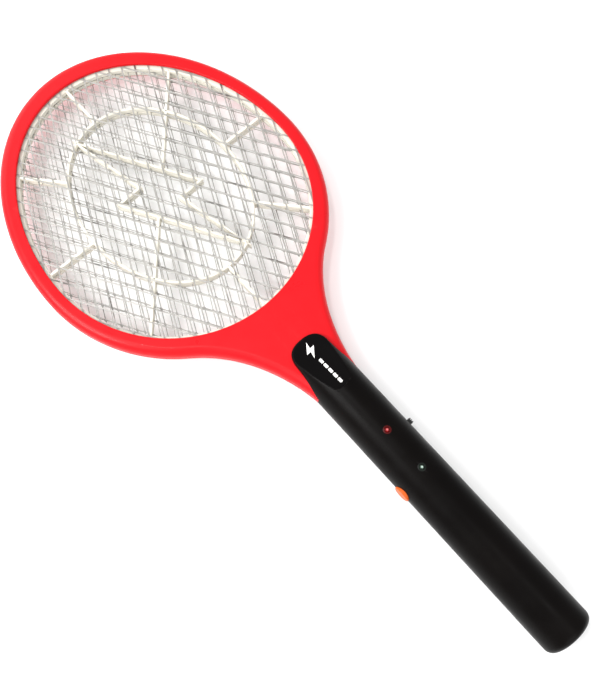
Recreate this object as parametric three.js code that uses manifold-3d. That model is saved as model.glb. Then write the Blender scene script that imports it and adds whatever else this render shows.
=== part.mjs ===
// Electric fly swatter, in millimetres.
// An egg-shaped head of two red half-frames clamps three expanded-metal meshes, kept apart by two
// ribbed ivory separators. A black two-shell handle holds the high-voltage circuit, the battery,
// a slide switch, a push button, two LEDs and a charging plug that slides out of the butt.
// The part is built around the handle's axis (x = 0, z = 0), with +Y towards the head's tip and +Z
// out of the front face, and is then moved so that the middle of its underside is the origin.
import * as THREE from "three";
import { mergeVertices } from "three/addons/utils/BufferGeometryUtils.js";
import Module from "manifold-3d";

const wasm = await Module();
wasm.setup();

// ---------- driving dimensions ----------
const GAP = 0.3; // between neighbouring pieces
const FAR = 400; // reaches past the whole part
const LEAD_RADIUS = 0.7;
const LEAD_CHANNEL = 1.1; // half the width of the channels that the leads lie in

const HEAD = { y: 130, half: 107.6, up: 136.3, down: 112, thick: 7.5, round: 6, joinY: 38.2 };
const FLARE = { reach: 31.3, inset: 2, foot: 4 };
const OPENING = { y: 129, half: 97, up: 123.5, down: 98 };
const RIM = { groove: 3.8, wall: 6.3, outer: 3.4, inner: -2.2 }; // offsets from the opening's edge
const STACK = { grid: 0.3, ribLow: 0.6, ribHigh: 4, meshLow: 4.3, meshHigh: 4.9, groove: 5.2 };
const RIB = { width: 2, centreY: 143, ringX: 58, ringY: 73.5, innerStart: 18.6, innerEnd: 65, outerEnd: 160 };
const SPOKES_DEG = [0, 47.5, 90, 132.5, 180, 227.5, 270, 312.5];
const BOLT = { tip: [-20.8, 69], knee: [27.5, -11], heel: [8.4, -12] };
const DIAMOND = { long: 39.6, short: 21.6, strand: 2.4, border: 5 };

const HANDLE = { radius: 17.4, wall: 2, butt: -250, buttRound: 5, endWall: 2.5, mouth: -41.5 };
const TONGUE = { tip: -3.5, root: -46, halfWidth: 14.4, low: 7.8 };
const FACET = { end: -46, level: -54, slope: 0.15 }; // its plane would meet the crest at y = level
const NECK = { radius: 15, end: -62, top: -23.5, thick: 7.3, bossHole: 3.9 };
const REAR_FLAT = -16.6;

const CIRCUIT = { y: -100.5, length: 67, width: 22, low: 8.4, high: 10 };
const TRANSFORMER = { x: -2, y: -80 };
const LED = { radius: 1.5, flange: 1.9, redY: -84.8, greenY: -116, top: 18 };
const SWITCH = { y: -90, travel: 4, nub: 4, reach: 20.2, stem: 3, stemHalf: 1 };
const BUTTON = { y: -120.2, radius: 5.75, flange: 6.6, face: -18.5 };
const BATTERY = { y: -168, length: 46, width: 21, low: -9.6, high: 7.4 };
const PLUG = { pinX: 9.3, pinRadius: 2, tip: -249.4, travel: 19 };
const CARRIAGE = { front: -227.5, back: -213.5, half: 13, high: 5.6, stem: 6, pad: 11 };
const CONTACT = { low: -232, high: -206, z: 6.2, thick: 0.5 };
const TRAY = { half: 7, low: -246, high: -208, floor: -14, wall: 1.6, slot: 2.6 };
const SCREW = { shank: 1.3, hole: 1.6, head: 2.8, pocket: 3.1, headHigh: 1.8, length: 18, seat: -9.8 };
const BOSS = { radius: 3.2, depth: 9.5 };
const HANDLE_SCREWS_Y = [-55, -139, -198];
const FRAME_SCREWS_DEG = [10, 58, 122, 170, 214, 326];
const FRAME_SCREW = { offset: 7.2, shank: 1.1, head: 2.2, headHigh: 1.3, length: 7.8, seat: -3.6 };
const LEADS_X = [-6, 6, 9];

// ---------- geometry helpers ----------

/** A closed three.js geometry as a solid for cutting and joining. */
function solid(geometry) {
  const bare = geometry.clone();
  bare.deleteAttribute("normal");
  bare.deleteAttribute("uv");
  const merged = mergeVertices(bare, 1e-4);
  const index = merged.index.array;
  const triangles = [];
  for (let i = 0; i < index.length; i += 3) {
    const [a, b, c] = [index[i], index[i + 1], index[i + 2]];
    if (a !== b && b !== c && a !== c) triangles.push(a, b, c);
  }
  return new wasm.Manifold(
    new wasm.Mesh({
      numProp: 3,
      vertProperties: merged.attributes.position.array,
      triVerts: new Uint32Array(triangles),
    }),
  );
}

/** A solid back as a flat-shaded three.js geometry. */
function geometryOf(made) {
  const mesh = made.getMesh();
  const geometry = new THREE.BufferGeometry();
  geometry.setAttribute("position", new THREE.BufferAttribute(mesh.vertProperties, 3));
  geometry.setIndex(new THREE.BufferAttribute(mesh.triVerts, 1));
  const flat = geometry.toNonIndexed();
  flat.computeVertexNormals();
  return flat;
}

/** An outline extruded straight from z = low to z = high. */
function prism(shape, low, high, curveSegments = 24) {
  const options = { depth: high - low, bevelEnabled: false, curveSegments };
  return solid(new THREE.ExtrudeGeometry(shape, options).translate(0, 0, low));
}

/** A box between two corners. */
function block(low, high) {
  const size = high.map((value, axis) => value - low[axis]);
  const middle = high.map((value, axis) => (value + low[axis]) / 2);
  return solid(new THREE.BoxGeometry(...size).translate(...middle));
}

/** A round bar along one axis, from low to high on that axis, centred on the other two. */
function bar(axis, radius, low, high, centre, sides = 20) {
  const geometry = new THREE.CylinderGeometry(radius, radius, high - low, sides);
  geometry.translate(0, (low + high) / 2, 0);
  if (axis === "x") geometry.rotateZ(-Math.PI / 2);
  if (axis === "z") geometry.rotateX(Math.PI / 2);
  return solid(geometry.translate(...centre));
}

/** A profile of [radius, height] points turned about the Y axis. */
function turned(profile, sides) {
  const points = profile.map(([radius, height]) => new THREE.Vector2(radius, height));
  return solid(new THREE.LatheGeometry(points, sides));
}

/** The points of an arc of a circle between two angles, for a profile. */
function arc(centre, radius, fromDeg, toDeg, steps) {
  const points = [];
  for (let step = 0; step <= steps; step++) {
    const angle = THREE.MathUtils.degToRad(fromDeg + ((toDeg - fromDeg) * step) / steps);
    points.push([centre[0] + radius * Math.cos(angle), centre[1] + radius * Math.sin(angle)]);
  }
  return points;
}

/** The egg shape of the head's opening, grown outwards by an offset. */
function egg(offset) {
  const shape = new THREE.Shape();
  const across = OPENING.half + offset;
  shape.absellipse(0, OPENING.y, across, OPENING.up + offset, 0, Math.PI);
  shape.absellipse(0, OPENING.y, across, OPENING.down + offset, Math.PI, 2 * Math.PI);
  return shape;
}

/** A straight bar in the XY plane between two points, as an outline with square ends. */
function strip(from, to, width) {
  const along = new THREE.Vector2(to[0] - from[0], to[1] - from[1]).setLength(width / 2);
  const shape = new THREE.Shape();
  shape.moveTo(from[0] - along.x + along.y, from[1] - along.y - along.x);
  shape.lineTo(to[0] + along.x + along.y, to[1] + along.y - along.x);
  shape.lineTo(to[0] + along.x - along.y, to[1] + along.y + along.x);
  shape.lineTo(from[0] - along.x - along.y, from[1] - along.y + along.x);
  shape.closePath();
  return shape;
}

/** A round wire through the given points. */
function wire(points, radius) {
  const path = new THREE.CatmullRomCurve3(points.map((point) => new THREE.Vector3(...point)));
  const section = new THREE.Shape();
  section.absarc(0, 0, radius, 0, 2 * Math.PI);
  const options = { steps: 3 * points.length, curveSegments: 3, extrudePath: path };
  return new THREE.ExtrudeGeometry(section, { ...options, bevelEnabled: false });
}

/** A solid turned over to the rear face. */
function mirrored(made) {
  return made.mirror([0, 0, 1]);
}

/** A point of the opening's edge, grown outwards by an offset, in a direction from its widest line. */
function rimPoint(degrees, offset) {
  const angle = THREE.MathUtils.degToRad(degrees);
  const reach = Math.sin(angle) > 0 ? OPENING.up : OPENING.down;
  const x = (OPENING.half + offset) * Math.cos(angle);
  return [x, OPENING.y + (reach + offset) * Math.sin(angle)];
}

// ---------- materials ----------

function material(color, roughness, metalness = 0) {
  return new THREE.MeshStandardMaterial({ color, roughness, metalness });
}

const RED = material(0xe8202c, 0.25);
const BLACK = material(0x141414, 0.4);
const IVORY = material(0xeeeae0, 0.5);
const MESH = material(0xb9bbbd, 0.35, 0.9);
const ORANGE = material(0xf0661c, 0.4);
const STEEL = material(0xa8a8aa, 0.3, 1);
const BRASS = material(0xc9a24a, 0.3, 1);
const NICKEL = material(0xc8c8c4, 0.2, 1);
const BOARD = material(0xb99a5b, 0.6);
const FERRITE = material(0x3a3a3c, 0.7);
const YELLOW = material(0xd9b02c, 0.4);
const CELL = material(0x2d4f8f, 0.45);
const RED_LENS = material(0xff3322, 0.15);
const GREEN_LENS = material(0xd6ffe0, 0.15);
const LEAD = material(0xb02020, 0.5);

// ---------- head ----------

/** The outside of the head and its flare down to the handle, seen from the front. */
function headOutline() {
  const sine = (HEAD.y - HEAD.joinY) / HEAD.down;
  const start = Math.asin(sine);
  const join = new THREE.Vector2(HEAD.half * Math.cos(start), HEAD.joinY);
  const slope = (HEAD.half * sine) / (HEAD.down * Math.cos(start));
  const bend = new THREE.Vector2(join.x - slope * FLARE.reach, join.y - FLARE.reach);
  const end = TONGUE.root - FLARE.foot;
  const foot = HANDLE.radius - FLARE.inset;
  const shape = new THREE.Shape();
  shape.moveTo(HANDLE.radius, end);
  shape.bezierCurveTo(foot, end, bend.x, bend.y, join.x, join.y);
  shape.absellipse(0, HEAD.y, HEAD.half, HEAD.down, -start, 0);
  shape.absellipse(0, HEAD.y, HEAD.half, HEAD.up, 0, Math.PI);
  shape.absellipse(0, HEAD.y, HEAD.half, HEAD.down, Math.PI, Math.PI + start);
  shape.bezierCurveTo(-bend.x, bend.y, -foot, end, -HANDLE.radius, end);
  shape.closePath();
  return shape;
}

/** Front and rear frame as one body, with rounded outer edges and the neck that enters the handle. */
function framePlate() {
  const options = {
    depth: 2 * (HEAD.thick - HEAD.round),
    bevelThickness: HEAD.round,
    bevelSize: HEAD.round,
    bevelOffset: -HEAD.round,
    bevelSegments: 2,
    curveSegments: 16,
  };
  const plate = new THREE.ExtrudeGeometry(headOutline(), options);
  const head = solid(plate.translate(0, 0, HEAD.round - HEAD.thick));
  const inHandle = block([-FAR, -FAR, -FAR], [FAR, HANDLE.mouth + GAP, FAR]);
  const neck = bar("y", NECK.radius, NECK.end, NECK.top, [0, 0, 0], 40);
  const slab = block([-FAR, -FAR, -NECK.thick], [FAR, FAR, NECK.thick]);
  return head.subtract(inHandle).add(neck.intersect(slab));
}

/** The front half of the frame plate: lip over the mesh, groove for the stack, hollow flare. */
function frameHalf() {
  let made = framePlate().intersect(block([-FAR, -FAR, GAP / 2], [FAR, FAR, FAR]));
  made = made.subtract(prism(egg(0), -FAR, FAR, 18));
  made = made.subtract(prism(egg(RIM.groove), -1, STACK.groove, 18));
  made = made.subtract(prism(flarePocket(), -1, STACK.groove).subtract(prism(egg(RIM.wall), -FAR, FAR, 18)));
  made = made.subtract(bar("z", NECK.bossHole, -FAR, FAR, [0, HANDLE_SCREWS_Y[0], 0]));
  return made.subtract(leadChannels());
}

/** The hollow inside the flare, a wall's width inside the outline on both sides. */
function flarePocket() {
  const side = [[12.5, -36], [15, -24], [19.5, -12], [25.5, 0], [33, 12], [42, 24], [42, 34]];
  const other = side.map(([x, y]) => [-x, y]).reverse();
  return new THREE.Shape([...side, ...other].map(([x, y]) => new THREE.Vector2(x, y)));
}

/** The front half-frame, with blind holes for the frame screws. */
function frontFrame() {
  let made = frameHalf();
  for (const [x, y] of frameScrewPlaces()) {
    made = made.subtract(bar("z", FRAME_SCREW.shank + GAP / 2, -1, 4.8, [x, y, 0], 8));
  }
  return made;
}

/** The rear half-frame: the front one turned over, with sunk holes through it for the screws. */
function rearFrame() {
  let made = mirrored(frameHalf());
  for (const [x, y] of frameScrewPlaces()) {
    made = made.subtract(bar("z", FRAME_SCREW.shank + GAP, -FAR, FAR, [x, y, 0], 8));
    made = made.subtract(bar("z", FRAME_SCREW.head + GAP, -FAR, FRAME_SCREW.seat, [x, y, 0], 14));
  }
  return made;
}

function frameScrewPlaces() {
  return FRAME_SCREWS_DEG.map((degrees) => rimPoint(degrees, FRAME_SCREW.offset));
}

/** Channels along the seam, with rises, that bring the leads from the handle to the meshes. */
function leadChannels() {
  const groove = OPENING.y - OPENING.down - RIM.groove;
  const half = LEAD_CHANNEL;
  const channels = LEADS_X.map((x) => block([x - half, -FAR, -half], [x + half, groove + 3, half]));
  const rises = LEADS_X.slice(1).map((x) => {
    return block([x - half, groove - 4, 0], [x + half, groove + 1, STACK.groove]);
  });
  return [...channels, ...rises].reduce((sum, channel) => sum.add(channel));
}

/** One ribbed separator: a rim, an oval ring of rib, spokes and a bolt-shaped rib in the middle. */
function separator() {
  const low = STACK.ribLow;
  const high = STACK.ribHigh;
  const half = RIB.width / 2;
  const rim = prism(egg(RIM.outer), low, high, 16).subtract(prism(egg(RIM.inner), -FAR, FAR, 16));
  let made = rim.add(ovalRing(low, high));
  const inside = prism(egg(0), -FAR, FAR, 16);
  const ringHole = ovalPrism(-half, -FAR, FAR);
  for (const degrees of SPOKES_DEG) {
    const angle = THREE.MathUtils.degToRad(degrees);
    const away = [RIB.outerEnd * Math.cos(angle), RIB.centreY + RIB.outerEnd * Math.sin(angle)];
    const spoke = prism(strip([0, RIB.centreY], away, RIB.width), low, high);
    made = made.add(spoke.intersect(inside).subtract(ringHole));
  }
  return made.add(boltRibs(low, high)).add(innerSpokes(low, high));
}

/** A solid oval the size of the rib ring, grown by an offset. */
function ovalPrism(offset, low, high) {
  const shape = new THREE.Shape();
  shape.absellipse(0, RIB.centreY, RIB.ringX + offset, RIB.ringY + offset, 0, 2 * Math.PI);
  return prism(shape, low, high, 16);
}

function ovalRing(low, high) {
  const half = RIB.width / 2;
  return ovalPrism(half, low, high).subtract(ovalPrism(-half, -FAR, FAR));
}

/** The corners of the bolt outline: three on one side, and the same three turned half way round. */
function boltCorners() {
  const side = [BOLT.tip, BOLT.knee, BOLT.heel];
  const corners = [...side, ...side.map(([x, y]) => [-x, -y])];
  return corners.map(([x, y]) => [x, y + RIB.centreY]);
}

function boltRibs(low, high) {
  const corners = boltCorners();
  const ribs = corners.map((corner, index) => {
    const next = corners[(index + 1) % corners.length];
    return prism(strip(corner, next, RIB.width), low, high);
  });
  return ribs.reduce((sum, rib) => sum.add(rib)).intersect(ovalPrism(0.5, -FAR, FAR));
}

/** Two short ribs that carry the slanting spokes on from the ring to the bolt. */
function innerSpokes(low, high) {
  const angle = THREE.MathUtils.degToRad(SPOKES_DEG[1]);
  const ribs = [1, -1].map((side) => {
    const ends = [RIB.innerStart, RIB.innerEnd].map((reach) => {
      return [side * reach * Math.cos(angle), RIB.centreY + side * reach * Math.sin(angle)];
    });
    return prism(strip(ends[0], ends[1], RIB.width), low, high);
  });
  return ribs[0].add(ribs[1]).intersect(ovalPrism(0.5, -FAR, FAR));
}

/** True where a diamond hole lies wholly inside the mesh's solid border. */
function fitsInside(x, y, halfX, halfY) {
  const across = OPENING.half - DIAMOND.border;
  const reach = (y > OPENING.y ? OPENING.up : OPENING.down) - DIAMOND.border;
  return [[halfX, 0], [-halfX, 0], [0, halfY], [0, -halfY]].every(([dx, dy]) => {
    return ((x + dx) / across) ** 2 + ((y + dy - OPENING.y) / reach) ** 2 < 1;
  });
}

/** An expanded-metal sheet: an egg-shaped disc with rows of diamond holes, every second row shifted. */
function meshSheet(low, high) {
  const shape = egg(RIM.outer - 0.4);
  const halfX = (DIAMOND.short - DIAMOND.strand) / 2;
  const halfY = (DIAMOND.long - DIAMOND.strand * 1.8) / 2;
  for (let row = -14; row <= 14; row++) {
    for (let column = -10; column <= 10; column++) {
      const x = (column + (row % 2 ? 0.5 : 0)) * DIAMOND.short;
      const y = OPENING.y + (row * DIAMOND.long) / 2;
      if (!fitsInside(x, y, halfX, halfY)) continue;
      const hole = new THREE.Path();
      hole.moveTo(x + halfX, y);
      hole.lineTo(x, y - halfY);
      hole.lineTo(x - halfX, y);
      hole.lineTo(x, y + halfY);
      hole.closePath();
      shape.holes.push(hole);
    }
  }
  return prism(shape, low, high, 14);
}

// ---------- handle ----------

/** A side view given as [y, z] points, extruded across X. */
function sideProfile(points, halfWidth) {
  const side = new THREE.Shape(points.map(([y, z]) => new THREE.Vector2(y, z)));
  const made = new THREE.ExtrudeGeometry(side, { depth: 2 * halfWidth, bevelEnabled: false });
  const alongY = new THREE.Vector3(0, 1, 0);
  const alongZ = new THREE.Vector3(0, 0, 1);
  const alongX = new THREE.Vector3(1, 0, 0);
  made.translate(0, 0, -halfWidth);
  return solid(made.applyMatrix4(new THREE.Matrix4().makeBasis(alongY, alongZ, alongX)));
}

/** The bullet shape of the tongue in plan, as wide as the handle behind its root. */
function tonguePlan() {
  const side = HANDLE.radius + 1;
  const { root, tip, halfWidth } = TONGUE;
  const shape = new THREE.Shape();
  shape.moveTo(side, -FAR);
  shape.lineTo(side, root);
  shape.bezierCurveTo(side - 2, root + 12, halfWidth, root + 18, halfWidth - 0.6, root + 31);
  shape.bezierCurveTo(halfWidth - 1.4, tip - 2, halfWidth / 2, tip, 0, tip);
  shape.bezierCurveTo(-halfWidth / 2, tip, 1.4 - halfWidth, tip - 2, 0.6 - halfWidth, root + 31);
  shape.bezierCurveTo(-halfWidth, root + 18, 2 - side, root + 12, -side, root);
  shape.lineTo(-side, -FAR);
  shape.closePath();
  return shape;
}

/** What the slanting facet takes off the top of the tongue. */
function facetCut() {
  const end = TONGUE.tip + 10;
  const heightAt = (y) => HANDLE.radius - FACET.slope * (y - FACET.level);
  const bottom = [[FACET.end, heightAt(FACET.end)], [end, heightAt(end)]];
  return sideProfile([...bottom, [end, FAR], [FACET.end, FAR]], 60);
}

/** The handle's outside: a round bar with a rounded butt, a tongue on each face and a rear flat. */
function handleOutside() {
  const { radius, butt, buttRound } = HANDLE;
  const corner = arc([radius - buttRound, butt + buttRound], buttRound, -90, 0, 4);
  const round = turned([[0, butt], ...corner, [radius, 0], [0, 0]], 56);
  const plan = prism(tonguePlan(), -FAR, FAR, 8);
  const rear = block([-FAR, -FAR, -FAR], [FAR, FAR, REAR_FLAT]);
  return round.intersect(plan).subtract(facetCut()).subtract(mirrored(facetCut())).subtract(rear);
}

/** The space inside the handle, and the space that the head takes at its mouth. */
function handleInside() {
  const { radius, wall, butt, endWall } = HANDLE;
  const cavity = turned([[0, butt + endWall], [radius - wall, butt + endWall],
    [radius - wall, TONGUE.root], [0, TONGUE.root]], 56);
  const above = block([-FAR, -FAR, REAR_FLAT + wall - 0.4], [FAR, FAR, FAR]);
  const slab = block([-FAR, -FAR, -TONGUE.low], [FAR, FAR, TONGUE.low]);
  const neck = bar("y", radius - wall, TONGUE.root - 1, 0, [0, 0, 0], 56).intersect(slab);
  const head = block([-FAR, HANDLE.mouth, -TONGUE.low], [FAR, FAR, TONGUE.low]);
  return cavity.intersect(above).add(neck).add(head);
}

/** The openings in the handle's sides and end that both shells share. */
function sideOpenings() {
  const slotLow = SWITCH.y - SWITCH.travel - SWITCH.stem / 2 - GAP;
  const slotHigh = SWITCH.y + SWITCH.stem / 2 + GAP;
  const slot = block([10, slotLow, -SWITCH.stemHalf - GAP], [FAR, slotHigh, SWITCH.stemHalf + GAP]);
  const button = bar("x", BUTTON.radius + GAP, -FAR, -10, [0, BUTTON.y, 0], 32);
  const pins = [-PLUG.pinX, PLUG.pinX].map((x) => {
    return bar("y", PLUG.pinRadius + GAP, -FAR, HANDLE.butt + 10, [x, 0, 0], 16);
  });
  return slot.add(button).add(pins[0]).add(pins[1]);
}

/** The front shell: LED holes, screw bosses, posts for the board and for the charging contacts. */
function frontShell() {
  let made = handleOutside().intersect(block([-FAR, -FAR, GAP / 2], [FAR, FAR, FAR]));
  made = made.subtract(handleInside()).subtract(sideOpenings());
  for (const y of HANDLE_SCREWS_Y) {
    made = made.add(bar("z", BOSS.radius, GAP / 2, HANDLE.radius - 1, [0, y, 0]));
  }
  for (const [x, y, low] of frontPosts()) {
    made = made.add(bar("z", 1.2, low, HANDLE.radius - 4.6, [x, y, 0], 10));
  }
  for (const y of HANDLE_SCREWS_Y) {
    made = made.subtract(bar("z", SCREW.hole, -1, BOSS.depth, [0, y, 0], 12));
  }
  for (const y of [LED.redY, LED.greenY]) {
    made = made.subtract(bar("z", LED.radius + 0.2, 12, FAR, [0, y, 0], 20));
  }
  return made;
}

/** Where posts reach down from the front shell: four on the board, four on the charging contacts. */
function frontPosts() {
  const posts = [];
  for (const x of [-1, 1]) {
    for (const y of [CIRCUIT.y - CIRCUIT.length / 2 + 4, CIRCUIT.y + CIRCUIT.length / 2 - 4]) {
      posts.push([x * (CIRCUIT.width / 2 - 2), y, CIRCUIT.high + GAP]);
    }
    for (const y of [CONTACT.low + 3, CONTACT.high - 3]) {
      posts.push([x * PLUG.pinX, y, CONTACT.z + CONTACT.thick + GAP]);
    }
  }
  return posts;
}

/** The rear shell: screw bosses with sunk heads, and the tray and slot of the plug's thumb pad. */
function rearShell() {
  let made = handleOutside().intersect(block([-FAR, -FAR, -FAR], [FAR, FAR, -GAP / 2]));
  made = made.subtract(handleInside()).subtract(sideOpenings());
  const trayTop = TRAY.floor + TRAY.wall;
  const tray = block([-TRAY.half - 1.5, TRAY.low - 1.5, TRAY.floor - 0.6],
    [TRAY.half + 1.5, TRAY.high + 1.5, trayTop]);
  made = made.add(tray);
  made = made.subtract(block([-TRAY.half, TRAY.low, -FAR], [TRAY.half, TRAY.high, TRAY.floor]));
  const middle = (CARRIAGE.front + CARRIAGE.back) / 2;
  const slotLow = middle - PLUG.travel - CARRIAGE.stem / 2 - GAP;
  const slotHigh = middle + CARRIAGE.stem / 2 + GAP;
  made = made.subtract(block([-TRAY.slot, slotLow, -FAR], [TRAY.slot, slotHigh, -10]));
  for (const y of HANDLE_SCREWS_Y) {
    made = made.add(bar("z", SCREW.pocket + 1.1, REAR_FLAT + 0.5, SCREW.seat + 1.6, [0, y, 0]));
    made = made.add(bar("z", BOSS.radius, REAR_FLAT + 0.5, -GAP / 2, [0, y, 0]));
  }
  for (const y of HANDLE_SCREWS_Y) {
    made = made.subtract(bar("z", SCREW.hole, -FAR, 1, [0, y, 0], 12));
    made = made.subtract(bar("z", SCREW.pocket, -FAR, SCREW.seat, [0, y, 0], 20));
  }
  return made;
}

// ---------- controls ----------

/** The slide switch: a box under the board with a slot for its knob, on three pins. */
function switchBody() {
  const { y, travel, stem, stemHalf } = SWITCH;
  const middle = y - travel / 2;
  let made = block([9, middle - 5.5, -2.6], [13.6, middle + 5.5, 2.6]);
  const slotLow = y - travel - stem / 2 - GAP;
  made = made.subtract(block([11.6, slotLow, -stemHalf - GAP], [FAR, y + stem / 2 + GAP, stemHalf + GAP]));
  for (const step of [-1, 0, 1]) {
    const pinY = middle + 3 * step;
    made = made.add(block([9.4, pinY - 0.3, 2], [10, pinY + 0.3, CIRCUIT.low - GAP]));
  }
  return made;
}

/** The slide switch's knob: a stem through the handle's side with a small nub outside. */
function switchKnob() {
  const { y, nub, reach, stem, stemHalf } = SWITCH;
  const inner = block([12, y - stem / 2, -stemHalf], [HANDLE.radius + 1, y + stem / 2, stemHalf]);
  const outer = block([HANDLE.radius + GAP, y - nub / 2, -1.8], [reach, y + nub / 2, 1.8]);
  const ridge = block([reach - 1, y - 0.3, -FAR], [FAR, y + 0.3, FAR]);
  return inner.add(outer).subtract(ridge);
}

/** The push button's cap: a shallow dome, a round side and a flange that keeps it in. */
function buttonCap() {
  const { radius, face } = BUTTON;
  const edge = -face - 1;
  const dome = [[0, -face], [radius * 0.5, -face - 0.2], [radius * 0.85, -face - 0.6], [radius, edge - 0.2]];
  const flange = [[radius, 13.6], [BUTTON.flange, 13.6], [BUTTON.flange, 12.6], [0, 12.6]];
  const profile = [...dome, ...flange].reverse();
  const points = profile.map(([r, out]) => new THREE.Vector2(r, out));
  return solid(new THREE.LatheGeometry(points, 24).rotateZ(Math.PI / 2).translate(0, BUTTON.y, 0));
}

/** The momentary switch behind the button: a box on two pins with a hole for the plunger. */
function momentarySwitch() {
  const y = BUTTON.y;
  let made = block([-10.4, y - 3.2, -3.2], [-3, y + 3.2, 3.2]);
  made = made.subtract(bar("x", 1.7 + GAP, -FAR, -4.4, [0, y, 0], 16));
  for (const side of [-1, 1]) {
    made = made.add(block([-7, y + side * 2 - 0.3, 2], [-6.4, y + side * 2 + 0.3, CIRCUIT.low - GAP]));
  }
  return made;
}

function buttonPlunger() {
  return bar("x", 1.7, -12.3, -6.4, [0, BUTTON.y, 0], 16);
}

/** A 3 mm LED standing on two legs on the board, its dome just proud of the handle. */
function led(y) {
  const { radius, flange, top } = LED;
  const base = top - 5.4;
  const dome = arc([0, top - radius], radius, 0, 90, 4);
  const profile = [[0, base], [flange, base], [flange, base + 0.9], [radius, base + 0.9], ...dome];
  const points = profile.map(([r, up]) => new THREE.Vector2(Math.max(r, 0), up));
  points[points.length - 1].x = 0;
  let made = solid(new THREE.LatheGeometry(points, 16).rotateX(Math.PI / 2).translate(0, y, 0));
  for (const side of [-1, 1]) {
    const x = side * 0.9;
    made = made.add(block([x - 0.25, y - 0.25, CIRCUIT.high + GAP], [x + 0.25, y + 0.25, base + 0.5]));
  }
  return made;
}

// ---------- circuit, battery and plug ----------

function circuitBoard() {
  const { y, length, width, low, high } = CIRCUIT;
  return block([-width / 2, y - length / 2, low], [width / 2, y + length / 2, high]);
}

/** The step-up transformer's two-part ferrite core, an H seen from the side. */
function transformerCore() {
  const { x, y } = TRANSFORMER;
  let made = block([x - 6.5, y - 7, -1.5], [x + 6.5, y + 7, CIRCUIT.low - 1.2]);
  for (const side of [-1, 1]) {
    made = made.subtract(block([x + side * 3.8 - 1.8, y - 4.4, -FAR], [x + side * 3.8 + 1.8, y + 4.4, FAR]));
  }
  return made;
}

/** The transformer's winding: a square sleeve of wire round the core's middle leg. */
function transformerWinding() {
  const { x, y } = TRANSFORMER;
  const outer = block([x - 4.9, y - 4, -2.6], [x + 4.9, y + 4, CIRCUIT.low - GAP]);
  return outer.subtract(block([x - 2.3, -FAR, -1.8], [x + 2.3, FAR, CIRCUIT.low - 0.9]));
}

/** A box with rounded upright edges and a small bevel, for the capacitor and the battery. */
function roundedBox(low, high, round) {
  const [width, depth, height] = high.map((value, axis) => value - low[axis]);
  const x = width / 2 - round;
  const y = height / 2 - round;
  const shape = new THREE.Shape();
  shape.absarc(x, y, round - 0.4, 0, Math.PI / 2);
  shape.absarc(-x, y, round - 0.4, Math.PI / 2, Math.PI);
  shape.absarc(-x, -y, round - 0.4, Math.PI, 1.5 * Math.PI);
  shape.absarc(x, -y, round - 0.4, 1.5 * Math.PI, 2 * Math.PI);
  shape.closePath();
  const options = { depth: depth - 0.8, bevelThickness: 0.4, bevelSize: 0.4, bevelSegments: 1 };
  const made = new THREE.ExtrudeGeometry(shape, { ...options, curveSegments: 3 });
  made.rotateX(Math.PI / 2);
  const centre = high.map((value, axis) => (value + low[axis]) / 2);
  return solid(made.translate(centre[0], centre[1] + depth / 2 - 0.4, centre[2]));
}

function storageCapacitor() {
  return roundedBox([-8, -114, -2], [0, -98, CIRCUIT.low - GAP], 1.2);
}

function battery() {
  const { y, length, width, low, high } = BATTERY;
  return roundedBox([-width / 2, y - length / 2, low], [width / 2, y + length / 2, high], 2.5);
}

/** The sliding block that carries the charging pins, with a stem down through the tray's slot. */
function plugCarriage() {
  const { front, back, half, high, stem } = CARRIAGE;
  let made = block([-half, front, -high], [half, back, high]);
  const middle = (front + back) / 2;
  made = made.add(block([-TRAY.slot + GAP, middle - stem / 2, TRAY.floor - 0.2],
    [TRAY.slot - GAP, middle + stem / 2, -5]));
  for (const x of [-PLUG.pinX, PLUG.pinX]) {
    made = made.subtract(bar("y", PLUG.pinRadius + GAP, -FAR, back - 3, [x, 0, 0], 12));
  }
  return made;
}

/** One round charging pin with a rounded tip. */
function plugPin(x) {
  const { pinRadius, tip } = PLUG;
  const nose = arc([pinRadius - 0.9, tip + 0.9], 0.9, -90, 0, 3);
  const end = CARRIAGE.back - 3 - GAP;
  const points = [[0, tip], ...nose, [pinRadius, end], [0, end]];
  return turned(points, 12).translate([x, 0, 0]);
}

/** The thumb pad that slides in the tray, with grip grooves across it. */
function thumbPad() {
  const middle = (CARRIAGE.front + CARRIAGE.back) / 2;
  const low = REAR_FLAT + 0.3;
  const high = TRAY.floor - 2 * GAP;
  const half = TRAY.half - 2 * GAP;
  let made = block([-half, middle - CARRIAGE.pad / 2, low], [half, middle + CARRIAGE.pad / 2, high]);
  for (const step of [-2, -1, 0, 1, 2]) {
    const y = middle + step * 1.8;
    made = made.subtract(block([-FAR, y - 0.4, -FAR], [FAR, y + 0.4, low + 0.6]));
  }
  return made;
}

/** A strip of brass that the pins' ends rub on when the plug is out. */
function contactStrip(x) {
  return block([x - 2, CONTACT.low, CONTACT.z], [x + 2, CONTACT.high, CONTACT.z + CONTACT.thick]);
}

// ---------- leads ----------

/** The lead from the board through the neck to a mesh at height z. */
function headLead(x, z) {
  const start = CIRCUIT.y + CIRCUIT.length / 2;
  const end = OPENING.y - OPENING.down - RIM.outer;
  const boardZ = (CIRCUIT.low + CIRCUIT.high) / 2;
  const points = [
    [x, start + 0.7, boardZ],
    [x, start + 1.9, boardZ - 1.8],
    [x, start + 2.4, boardZ / 2],
    [x, start + 3.2, 0.9],
    [x, start + 6, 0],
    [x, -20, 0],
    [x, end - 8, 0],
  ];
  if (z) points.push([x, end - 4, 0.1 * z], [x, end - 2.4, 0.55 * z], [x, end - 0.4, z]);
  else points.push([x, end - GAP, 0]);
  return wire(points, LEAD_RADIUS);
}

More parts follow.
